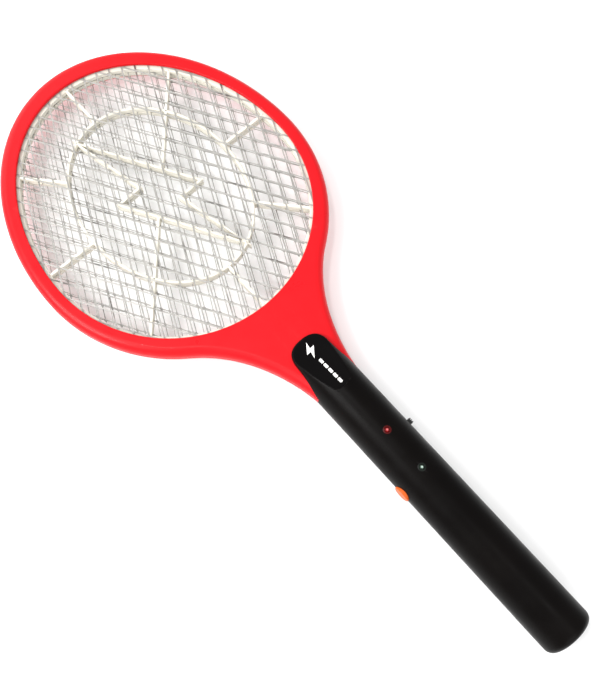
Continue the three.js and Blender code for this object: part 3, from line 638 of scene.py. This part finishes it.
def front_shell():
    """The front shell with the side openings and the holes for the LEDs."""
    holes = side_openings()
    for y in (LED["red_y"], LED["green_y"]):
        holes.rod(LED["hole"], INSIDE, OUTSIDE, (0, y, 0), Z, 32)
    return cut(handle_shell("handle_front", 1), holes)


def rear_shell():
    """The rear shell, with the plug's tray and the bosses and pockets of the handle screws."""
    half, low, high, floor, wall = TRAY["half"], TRAY["low"], TRAY["high"], -TRAY["floor"], TRAY["wall"]
    pocket, seat = SCREW["pocket"], SCREW["seat"]
    screws = [(0, middle_of(f"handle_screw_{i}").y, 0) for i in (1, 2, 3)]
    walls = Shape().block((-half - wall, low - wall, floor - TRAY["under"]),
                          (half + wall, high + wall, floor + TRAY["thick"]))
    for screw in screws:
        walls.rod(pocket + BOSS["wall"], BOSS["recess"] - HANDLE["flat"], seat + BOSS["floor"], screw, Z, 40)
        walls.rod(BOSS["radius"], seat + BOSS["foot"], -SEAM["z"], screw, Z, 40)
    openings = side_openings().block((-half, low, -30), (half, high, floor))
    stem = PLUG["stem"] / 2 + GAP
    slot_low, slot_high = PLUG["middle"] - PLUG["travel"] - stem, PLUG["middle"] + stem
    slot = Shape().block((-TRAY["slot"], slot_low, -OUTSIDE), (TRAY["slot"], slot_high, -10))
    shanks = Shape()
    for screw in screws:
        slot.rod(pocket, -30, seat, screw, Z, 40)
        shanks.rod(SCREW["shank"] + GAP, -OUTSIDE, 3, screw, Z, 24)
    return cut(combined(handle_shell("handle_rear", -1), walls, "UNION"), openings, slot, shanks)


# ---------- small pieces ----------
def softened(node, width):
    """A CAD node's mesh with its flat faces merged and its sharp edges rounded."""
    made = bmesh.new()
    made.from_mesh(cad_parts[node].data)
    bmesh.ops.remove_doubles(made, verts=made.verts, dist=1e-6)
    bmesh.ops.dissolve_limit(made, angle_limit=radians(1), verts=made.verts, edges=made.edges)
    sharp = [e for e in made.edges if len(e.link_faces) == 2 and e.calc_face_angle(0) > radians(40)]
    bmesh.ops.bevel(made, geom=sharp, offset=width * MM, segments=2, profile=0.6, affect="EDGES",
                    clamp_overlap=True)
    bmesh.ops.recalc_face_normals(made, faces=made.faces)
    mesh = bpy.data.meshes.new(node)
    made.to_mesh(mesh)
    made.free()
    return mesh


def led_lens(name, y):
    """An LED: a dome on a flanged foot, with two legs down to the board."""
    radius, flange, top, leg = LED["radius"], LED["flange"], LED["top"], LED["leg"]
    base = top - LED["body"]
    dome = [(radius * cos(a), top - radius + radius * sin(a)) for a in quarter(10)[:-1]]
    profile = [(flange - 0.1, base), (flange, base + 0.1), (flange, base + 0.8), (flange - 0.1, base + 0.9),
               (radius, base + 0.9), *dome, (POLE, top)]
    shape = Shape().lathe(profile, (0, y, 0), Z, 40)
    for x in (-LED["leg_x"], LED["leg_x"]):
        shape.block((x - leg, y - leg, LED["leg_end"]), (x + leg, y + leg, base + 0.4))
    return mesh_of(name, shape)


def led_bezel(name, y):
    """A thin tinted ring round an LED, bent over the handle's crest."""
    hole, rim = LED["hole"], LED["bezel"]
    section = [(hole + 0.02, -0.1), (rim, -0.1), (rim, 0.02), (rim - 0.15, 0.1), (hole + 0.15, 0.1),
               (hole + 0.02, 0.02)]
    rings = []
    for radius, lift in section:
        ring = []
        for angle in around(48):
            x = radius * cos(angle)
            ring.append((x, y + radius * sin(angle), sqrt(HANDLE["radius"] ** 2 - x * x) + lift))
        rings.append(ring)
    return mesh_of(name, Shape().rings(rings, loop=True))


def button_cap():
    """The orange cap: shallow dish, rounded edge, straight skirt and a flange inside."""
    radius, face, curve, flange = BUTTON["radius"], BUTTON["face"], BUTTON["round"], BUTTON["flange"]
    dish = [(r, deep - face) for r, deep in DISH]
    edge = [(radius - curve + curve * sin(a), curve * (1 - cos(a)) - face) for a in quarter(6)]
    low, end = -BUTTON["skirt"], -BUTTON["end"]
    skirt = [(radius, low), (flange, low), (flange, end), (POLE, end)]
    return mesh_of("button_cap", Shape().lathe([*dish, *edge, *skirt], (0, BUTTON["y"], 0), X, 72))


def switch_knob():
    """The knob: a stem through the slot and a rounded nub with three grip ridges."""
    y, half, stem = SWITCH["y"], SWITCH["nub"] / 2, SWITCH["stem"] / 2
    shape = Shape().block((INSIDE, y - stem, -SWITCH["half"]), (18, y + stem, SWITCH["half"]))
    base, reach = HANDLE["radius"] + GAP, SWITCH["reach"]
    corner = [(half, base), (half, reach - 1.1), (half - 0.25, reach - 0.85)]
    profile = [(-along, x) for along, x in corner]
    for centre in (-SWITCH["pitch"], 0, SWITCH["pitch"]):
        profile += [(centre + along, reach - below) for along, below in RIDGE]
    profile += reversed(corner)
    rings = []
    for z, shrink in ((-1.8, 0.25), (-1.55, 0), (1.55, 0), (1.8, 0.25)):
        rings.append([(max(x - shrink * (x > base), base), y + along * (1 - shrink * 0.12), z)
                      for along, x in profile])
    return mesh_of("switch_knob", shape.rings(rings, caps=True))


def screw_mesh(name, centre, size):
    """A pan-head screw that points up from its seat, with a cross recess and a ridged shank."""
    under = size["seat"] - 0.1
    low, head = under - size["high"], size["head"]
    dome = [(head * sin(a), low + size["high"] * 0.55 * (1 - cos(a))) for a in quarter(8)[1:]]
    profile = [(POLE, low), *dome, (head, under - 0.1), (head - 0.1, under), (size["shank"], under)]
    pitch, core, tip = THREAD["pitch"], size["shank"] - THREAD["deep"], under + size["length"]
    for i in range(int((size["length"] - 2) / pitch)):
        start = under + THREAD["start"] + pitch * i
        profile += [(core, start), (size["shank"], start + pitch / 2)]
    profile += [(core, tip - 0.6), (POLE, tip)]
    shape = Shape().lathe(profile, (centre.x, centre.y, 0), Z, 32)
    arm, half, deep = head * 0.6, head * 0.11, low + size["high"] * 0.6
    cross = [Shape().block((centre.x - a, centre.y - b, low - 1), (centre.x + a, centre.y + b, deep))
             for a, b in ((arm, half), (half, arm))]
    return cut(mesh_of(name, shape), *cross)


def pin_mesh(name, x):
    """A round charging pin with a rounded tip."""
    radius, tip, end, curve = PLUG["radius"], PLUG["tip"], PLUG["end"], PLUG["round"]
    nose = [(radius - curve + curve * sin(a), tip + curve * (1 - cos(a))) for a in quarter(6)]
    profile = [(POLE, tip), *nose, (radius, end - 0.2), (radius - 0.2, end), (POLE, end)]
    return mesh_of(name, Shape().lathe(profile, (x, 0, 0), Y, 40))


def facet_mark():
    """A plain printed pictogram on the facet: a small bolt over a row of dashes."""
    bolt = [(1.5, 6), (-3.9, -1), (-0.7, -0.9), (-1.9, -6), (3.9, 1.3), (0.6, 1.2)]
    shape = Shape()
    on_plane(shape, [(x, y + MARK["bolt_y"]) for x, y in bolt])
    for i in range(MARK["dashes"]):
        top = MARK["bar_top"] - i * MARK["step"]
        dash = []
        for centre, turn in ((top, 0), (top - MARK["dash"], pi)):
            dash += [(MARK["bar"] * cos(turn + a), centre + 0.5 * MARK["bar"] * sin(turn + a))
                     for a in around(16)[:9]]
        on_plane(shape, dash)
    return mesh_of("facet_mark", shape)


def on_plane(shape, outline):
    """Lays an outline on the facet as a thin film, half sunk into it."""
    film_z = MARK["film"]
    rings = [[(x, y, facet_height(y) + lift) for x, y in outline] for lift in (-film_z, film_z)]
    shape.rings(rings, caps=True)


# ---------- materials ----------
class Finish:
    """A material under construction: its node tree, shader and object coordinates."""

    def __init__(self, name, roughness, metallic=0.0, coat=0.0, specular=0.5):
        self.material = bpy.data.materials.new(name)
        self.material.use_nodes = True
        self.nodes = self.material.node_tree.nodes
        self.links = self.material.node_tree.links
        self.shader = self.nodes["Principled BSDF"]
        constants = {"Metallic": metallic, "Roughness": roughness, "Coat Weight": coat,
                     "Coat Roughness": 0.06, "Specular IOR Level": specular}
        for key, value in constants.items():
            self.shader.inputs[key].default_value = value
        self.coordinates = self.nodes.new("ShaderNodeTexCoord").outputs["Object"]

    def node(self, kind, inputs, **settings):
        """The outputs of a new node. Each of its inputs is a constant or another node's value."""
        made = self.nodes.new("ShaderNode" + kind)
        for key, value in settings.items():
            setattr(made, key, value)
        for key, value in inputs.items():
            if isinstance(value, bpy.types.NodeSocket):
                self.links.new(value, made.inputs[key])
            else:
                made.inputs[key].default_value = value
        return made.outputs

    def noise(self, scale, detail=3.0, stretch=(1, 1, 1)):
        """A noise value at a scale in cycles per metre, stretched along the axes."""
        mapped = self.node("Mapping", {"Scale": stretch, "Vector": self.coordinates})["Vector"]
        return self.node("TexNoise", {"Scale": scale, "Detail": detail, "Vector": mapped})["Fac"]

    def wave(self, scale, distortion, bands="X"):
        """A value that rises and falls in bands across one axis."""
        inputs = {"Scale": scale, "Distortion": distortion, "Vector": self.coordinates}
        return self.node("TexWave", inputs, bands_direction=bands)["Fac"]

    def spread(self, value, low, high, to_low, to_high):
        """A value between low and high, spread over another range and clamped."""
        inputs = {"Value": value, "From Min": low, "From Max": high, "To Min": to_low, "To Max": to_high}
        return self.node("MapRange", inputs)["Result"]

    def blend(self, factor, a, b):
        """Colour a where the factor is 0, and b where it is 1. Either may be another node's colour."""
        a, b = ((*color, 1) if isinstance(color, tuple) else color for color in (a, b))
        return self.node("Mix", {"Factor": factor, 6: a, 7: b}, data_type="RGBA")[2]

    def add(self, a, b, share):
        """a plus share times b."""
        return self.node("Math", {0: b, 1: share, 2: a}, operation="MULTIPLY_ADD")[0]

    def paint(self, factor, a, b):
        """Base colour a where the factor is 0, and b where it is 1."""
        self.set("Base Color", self.blend(factor, a, b))

    def bump(self, height, distance, strength):
        """Surface relief, its distance in millimetres."""
        inputs = {"Distance": distance * MM, "Strength": strength, "Height": height}
        self.set("Normal", self.node("Bump", inputs)["Normal"])

    def worn_edges(self):
        """A value that rises along convex edges, broken up by noise."""
        pointiness = self.node("NewGeometry", {})["Pointiness"]
        return self.spread(self.add(pointiness, self.noise(420, 4), 0.06), 0.55, 0.63, 0, 1)

    def vary_roughness(self, noise, low, high):
        """Roughness that wanders between low and high with a noise."""
        self.set("Roughness", self.spread(noise, 0.3, 0.7, low, high))

    def set(self, key, value):
        """Links another node's value to an input of the shader."""
        self.links.new(value, self.shader.inputs[key])


def moulded(name, color, roughness, grain=900, depth=0.02, coat=0.0, fade=0.88, worn=None, specular=0.5):
    """Moulded plastic: slow colour drift, fine grain, worn edges, rubbed patches and hairline scratches."""
    made = Finish(name, roughness, coat=coat, specular=specular)
    drift = made.spread(made.noise(22, 4), 0.35, 0.65, 0, 1)
    base = made.blend(drift, color, tuple(c * fade for c in color))
    pale = worn or tuple(min(c * 1.5 + 0.05, 1) for c in color)
    base = made.blend(made.spread(made.worn_edges(), 0, 1, 0, 0.35), base, pale)
    made.set("Base Color", base)
    scratches = made.spread(made.noise(60, 5, (1, 26, 26)), 0.62, 0.7, 0, 1)
    patches = made.spread(made.noise(75, 5), 0.3, 0.7, roughness - 0.07, roughness + 0.08)
    made.set("Roughness", made.add(patches, scratches, 0.06))
    made.bump(made.add(made.noise(grain, 3), scratches, -0.25), depth, 0.35)
    return made.material


def metal(name, color, roughness, brushed=(1, 1, 30), stain=0.75):
    """Bare metal with a brushed grain, dull patches and fine pits."""
    made = Finish(name, roughness, metallic=1.0)
    dull = made.spread(made.noise(110, 5), 0.42, 0.75, 0, 1)
    made.paint(dull, color, tuple(c * stain for c in color))
    made.vary_roughness(made.noise(300, 4, brushed), roughness - 0.08, roughness + 0.14)
    made.bump(made.noise(1400, 2, brushed), 0.02, 0.3)
    return made.material


def galvanised():
    """The meshes: dull galvanised metal in two greys, with a fine grain."""
    made = Finish("galvanised_mesh", 0.45, metallic=0.15, specular=0.15)
    dull = made.spread(made.noise(160, 4), 0.4, 0.75, 0, 1)
    made.paint(dull, (0.36, 0.35, 0.33), (0.24, 0.235, 0.22))
    made.vary_roughness(made.noise(500, 3), 0.32, 0.5)
    made.bump(made.noise(2600, 2), 0.03, 0.3)
    return made.material


def lamp(name, rim, core, strength, y):
    """A lit LED: glowing core, tinted lens, faint moulding marks."""
    made = Finish(name, 0.25, specular=0.2)
    ends = {0: made.coordinates, 1: place((0, y, LED["top"]))}
    away = made.node("VectorMath", ends, operation="DISTANCE")["Value"]
    ripple = made.add(away, made.noise(900, 2), 0.0004)
    glow = made.spread(ripple, 0.0004, 0.0012, 0, 1)
    tint = made.blend(glow, core, rim)
    made.set("Base Color", tint)
    made.set("Emission Color", tint)
    made.shader.inputs["Emission Strength"].default_value = strength
    made.bump(made.noise(1500, 2), 0.01, 0.2)
    return made.material


def laminate():
    """Circuit board: tan laminate with a woven weave and solder-green patches."""
    made = Finish("circuit_laminate", 0.5)
    weave = made.wave(260, 1.5)
    tan = made.blend(weave, (0.42, 0.28, 0.1), (0.5, 0.35, 0.14))
    traces = made.spread(made.noise(170, 1, (1, 3, 1)), 0.5, 0.52, 0, 1)
    made.paint(traces, tan, (0.2, 0.26, 0.08))
    made.vary_roughness(made.noise(300, 3), 0.35, 0.6)
    made.bump(weave, 0.02, 0.4)
    return made.material


def copper_wire():
    """The transformer's winding: lacquered wire laid side by side, with painted shade in the grooves between
    the windings and painted highlight on their crowns.
    """
    made = Finish("winding_copper", 0.35, metallic=0.6)
    winding_relief_and_shading = made.wave(900, 0.6, "Y")
    # The darker copper colour is painted shade in the grooves; the paler one is painted highlight on the
    # crowns of the wire.
    made.paint(winding_relief_and_shading, (0.35, 0.12, 0.04), (0.75, 0.36, 0.14))
    made.vary_roughness(made.noise(400, 3), 0.25, 0.45)
    made.bump(winding_relief_and_shading, 0.1, 0.6)
    return made.material


def film(name, color, fold_shade_color):
    """A shrink-wrapped film: glossy and wrinkled, with painted shade, a darker colour that follows its
    wrinkle relief.
    """
    made = Finish(name, 0.25, coat=0.4)
    wrinkle_relief_and_shade = made.noise(120, 4, (1, 4, 1))
    # Painted shade: the second colour darkens the film along its wrinkle relief.
    made.paint(made.spread(wrinkle_relief_and_shade, 0.45, 0.6, 0, 1), color, fold_shade_color)
    made.vary_roughness(made.noise(200, 3), 0.18, 0.36)
    made.bump(wrinkle_relief_and_shade, 0.15, 0.4)
    return made.material


def insulation(name, color):
    """PVC lead insulation: matt sheen, faint dust and a slight lumpiness."""
    made = Finish(name, 0.5)
    made.paint(made.noise(300, 4), color, tuple(c * 0.7 + 0.03 for c in color))
    made.vary_roughness(made.noise(600, 3), 0.4, 0.6)
    made.bump(made.noise(900, 2), 0.05, 0.3)
    return made.material


def printed():
    """White pad-printed ink, slightly uneven."""
    made = Finish("printed_white", 0.45)
    made.paint(made.noise(900, 4), (0.86, 0.85, 0.82), (0.7, 0.69, 0.66))
    made.bump(made.noise(2200, 2), 0.02, 0.3)
    return made.material


def facet_gloss():
    """The polished facet: smooth deep black with faint wipe marks."""
    made = Finish("facet_gloss", 0.14, specular=0.035)
    made.paint(made.noise(40, 3), (0.002, 0.0018, 0.002), (0.0045, 0.004, 0.004))
    made.set("Roughness", made.spread(made.noise(90, 5, (1, 8, 1)), 0.35, 0.7, 0.07, 0.2))
    made.bump(made.noise(300, 2), 0.005, 0.2)
    return made.material


# ---------- assembly ----------
RED = moulded("red_gloss", (0.59, 0.0062, 0.0105), 0.34, grain=240, coat=0.02, fade=0.93,
              worn=(0.7, 0.03, 0.03), specular=0.13)
BLACK = moulded("black_satin", (0.0022, 0.0015, 0.0013), 0.36, grain=2200, fade=0.7,
                worn=(0.009, 0.008, 0.008), specular=0.065)
DARK = moulded("black_control", (0.012, 0.012, 0.013), 0.5, grain=1800, depth=0.03, fade=0.7, specular=0.3,
               worn=(0.03, 0.03, 0.03))
IVORY = moulded("ivory_ribs", (0.64, 0.61, 0.535), 0.45, grain=700, fade=0.94, specular=0.3)
ORANGE = moulded("orange_cap", (0.62, 0.1, 0.006), 0.4, fade=0.75, specular=0.25)
WHITE = moulded("plunger_white", (0.75, 0.74, 0.7), 0.45)
FERRITE = moulded("ferrite_grey", (0.035, 0.034, 0.036), 0.62, grain=2600, depth=0.08, fade=0.6)
MESH = galvanised()
STEEL = metal("screw_steel", (0.55, 0.54, 0.52), 0.28)
NICKEL = metal("pin_nickel", (0.72, 0.69, 0.62), 0.18, brushed=(30, 1, 30))
BRASS = metal("contact_brass", (0.72, 0.5, 0.2), 0.25)
TIN = metal("switch_steel", (0.6, 0.6, 0.6), 0.3)
RED_WIRE = insulation("lead_red", (0.5, 0.02, 0.02))
BLACK_WIRE = insulation("lead_black", (0.02, 0.02, 0.02))
# The second colour of each film is painted shade along its wrinkles.
CAPACITOR_FILM = film("capacitor_film", (0.5, 0.1, 0.02), (0.36, 0.06, 0.01))
BATTERY_FILM = film("battery_film", (0.03, 0.09, 0.32), (0.02, 0.06, 0.2))
RED_BEZEL = moulded("bezel_red", (0.05, 0.001, 0.001), 0.35, grain=1500, worn=(0.08, 0.002, 0.002),
                    specular=0.15)
DARK_BEZEL = moulded("bezel_dark", (0.004, 0.007, 0.005), 0.35, grain=1500, worn=(0.01, 0.01, 0.01),
                     specular=0.15)
RED_LAMP = lamp("led_red_glow", (0.16, 0.002, 0.003), (0.5, 0.13, 0.13), 0.3, LED["red_y"])
GREEN_LAMP = lamp("led_green_glow", (0.03, 0.045, 0.035), (0.4, 0.52, 0.45), 0.2, LED["green_y"])

FIXED = "racket"

for side_name, side in (("front", 1), ("rear", -1)):
    half = frame_half(f"{side_name}_frame_skin", side)
    if side < 0:
        half = drilled(half)
    piece(f"{side_name}_frame_skin", half, RED, FIXED, [f"{side_name}_frame"])
    ribs = separator(f"{side_name}_ribs", side)
    piece(f"{side_name}_ribs", ribs, IVORY, FIXED, [f"{side_name}_separator"])

# Each mesh layer: its heights, its turn in degrees, its pattern's shift and its strands' width.
LAYERS = {
    "front_mesh": (MESH_Z["low"], MESH_Z["high"], 3.3, (0, 0), DIAMOND["strand"]),
    "centre_grid": (-MESH_Z["grid"], MESH_Z["grid"], 1.6, (2.1, 3.4), DIAMOND["fine"]),
    "rear_mesh": (-MESH_Z["high"], -MESH_Z["low"], 2.6, (4.2, 1.2), DIAMOND["fine"]),
}
for node, (low, high, turn, shift, width) in LAYERS.items():
    sheet = expanded_metal(f"{node}_lattice", low, high, turn, shift, width)
    piece(f"{node}_lattice", sheet, MESH, FIXED, [node], sharp=20)

shell = front_shell()
shell.materials.clear()
shell.materials.append(BLACK)
shell.materials.append(facet_gloss())
for polygon in shell.polygons:
    polygon.material_index = 1 if on_facet(polygon.center) else 0
piece("handle_front", shell, BLACK, FIXED, ["handle_front_shell"], sharp=24)
piece("handle_rear", rear_shell(), BLACK, FIXED, ["handle_rear_shell"], sharp=24)
piece("facet_mark", facet_mark(), printed(), FIXED)

for color, glow in (("red", RED_LAMP), ("green", GREEN_LAMP)):
    name = f"{color}_led_lens"
    piece(name, led_lens(name, LED[f"{color}_y"]), glow, FIXED, [f"{color}_led"])
for color, finish in (("red", RED_BEZEL), ("green", DARK_BEZEL)):
    name = f"{color}_led_bezel"
    piece(name, led_bezel(name, LED[f"{color}_y"]), finish, FIXED)

piece("switch_knob", switch_knob(), DARK, "power_slide", ["slide_switch_knob"])
piece("button_cap", button_cap(), ORANGE, "push_button", ["push_button_cap"])
for side_name, side in (("left", -1), ("right", 1)):
    pin = pin_mesh(f"charging_pin_{side_name}", side * PLUG["x"])
    piece(f"charging_pin_{side_name}", pin, NICKEL, "charging_plug", [f"plug_pin_{side_name}"])

for count, size, kind in ((3, SCREW, "handle_screw"), (6, FRAME_SCREW, "frame_screw")):
    for i in range(1, count + 1):
        node = f"{kind}_{i}"
        made = screw_mesh(f"{node}_steel", middle_of(node), size)
        piece(f"{node}_steel", made, STEEL, FIXED, [node])

# The rest of the CAD nodes, with rounded edges: name of the piece, body, slot, finish, rounding.
ROUNDED = {
    "plug_thumb_pad": ("thumb_pad_grip", "charging_plug", "control_black", DARK, 0.22),
    "plug_carriage": ("carriage_block", "charging_plug", "control_black", DARK, 0.3),
    "slide_switch_body": ("switch_can", FIXED, "switch_steel", TIN, 0.12),
    "momentary_switch": ("momentary_block", FIXED, "control_black", DARK, 0.12),
    "circuit_board": ("circuit_panel", FIXED, "circuit_board", laminate(), 0.12),
    "transformer_core": ("transformer_ferrite", FIXED, "ferrite", FERRITE, 0.25),
    "transformer_winding": ("transformer_coil", FIXED, "winding_copper", copper_wire(), 0.3),
    "storage_capacitor": ("capacitor_body", FIXED, "capacitor_film", CAPACITOR_FILM, 0.3),
    "battery": ("battery_pack", FIXED, "battery_case", BATTERY_FILM, 0.4),
    "charging_contact_left": ("contact_strip_left", FIXED, "contact_brass", BRASS, 0.08),
    "charging_contact_right": ("contact_strip_right", FIXED, "contact_brass", BRASS, 0.08),
    "push_button_plunger": ("button_plunger", "push_button", "plunger_white", WHITE, 0.15),
}
for node, (name, body, slot, finish, width) in ROUNDED.items():
    made = softened(node, width)
    made.materials.clear()
    piece(name, made, finish, body, [node])

BLACK_LEADS = ["charging_lead_left", "battery_lead_left", "front_mesh_lead", "rear_mesh_lead"]
RED_LEADS = ["charging_lead_right", "battery_lead_right", "grid_lead"]
for nodes, finish in ((BLACK_LEADS, BLACK_WIRE), (RED_LEADS, RED_WIRE)):
    for node in nodes:
        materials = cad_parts[node].data.materials
        materials.clear()
        materials.append(finish)


# ---------- stage, light and camera ----------
FLOOR = {"half": 6.0, "drop": 0.0002}
WORLD_STRENGTH = 0.85
# Each softbox: the way to it from the object, its distance and side in metres, and its watts.
SOFTBOXES = {
    "key": ((-0.72, 0.32, 0.76), 1.0, 0.55, 11),
    "crest": ((-0.17, 0.19, 1.0), 1.1, 0.12, 2),
    "low_streak": ((0.06, -0.5, 1.0), 1.1, 0.16, 0.6),
    "front": ((-0.2, -1.0, 0.65), 1.7, 1.2, 9),
    "back": ((-0.1, 1.0, 0.55), 1.7, 1.2, 9),
}
# The camera looks down on the face from the handle's left. Its aim is off the object's middle by AIM.
CAMERA = {"distance": 0.5147, "back": (-0.2085, -0.1911, 0.9592), "up": (0.6343, 0.7201, 0.2813)}
AIM = Vector((-1.8, -13.8, -0.3)) * MM
LENS, SENSOR = 39.957, 36  # in millimetres, the sensor along the picture's long side


def pale_floor():
    """The plain floor that the swatter lies on."""
    made = Finish("pale_floor", 0.7, specular=0.2)
    made.paint(made.noise(3, 2), (0.93, 0.93, 0.93), (0.9, 0.9, 0.9))
    half = FLOOR["half"]
    mesh = bpy.data.meshes.new("floor")
    corners = [(-half, -half, 0), (half, -half, 0), (half, half, 0), (-half, half, 0)]
    mesh.from_pydata(corners, [], [(0, 1, 2, 3)])
    mesh.materials.append(made.material)
    floor = linked("floor", mesh)
    floor.location.z = cad_low.z - FLOOR["drop"]


def softbox(name, toward, distance, size, power):
    """A square area light that shines at the object from a direction."""
    light = bpy.data.lights.new(name, "AREA")
    light.size = size
    light.energy = power
    box = linked(name, light)
    direction = Vector(toward).normalized()
    box.location = (cad_low + cad_high) / 2 + direction * distance
    box.rotation_mode = "QUATERNION"
    box.rotation_quaternion = direction.to_track_quat("Z", "Y")


def studio():
    """An even white surround and the softboxes."""
    world = bpy.data.worlds.new("studio")
    world.use_nodes = True
    sky = world.node_tree.nodes["Background"].inputs
    sky["Color"].default_value = (1, 1, 1, 1)
    sky["Strength"].default_value = WORLD_STRENGTH
    scene.world = world
    for name, (toward, distance, size, power) in SOFTBOXES.items():
        softbox(name, toward, distance, size, power)
    scene.view_settings.view_transform = "Standard"


def photograph_camera():
    """The camera at the photograph's viewing angle."""
    camera = bpy.data.cameras.new("camera")
    camera.lens = LENS
    camera.sensor_width = SENSOR
    camera.clip_start = 0.01
    back = Vector(CAMERA["back"]).normalized()
    right = Vector(CAMERA["up"]).cross(back).normalized()
    up = back.cross(right)
    middle = (cad_low + cad_high) / 2 + AIM + back * CAMERA["distance"]
    obj = linked("camera", camera)
    turned = Matrix((right, up, back)).transposed().to_4x4()
    obj.matrix_world = Matrix.Translation(middle) @ turned
    scene.camera = obj


pale_floor()
studio()
photograph_camera()
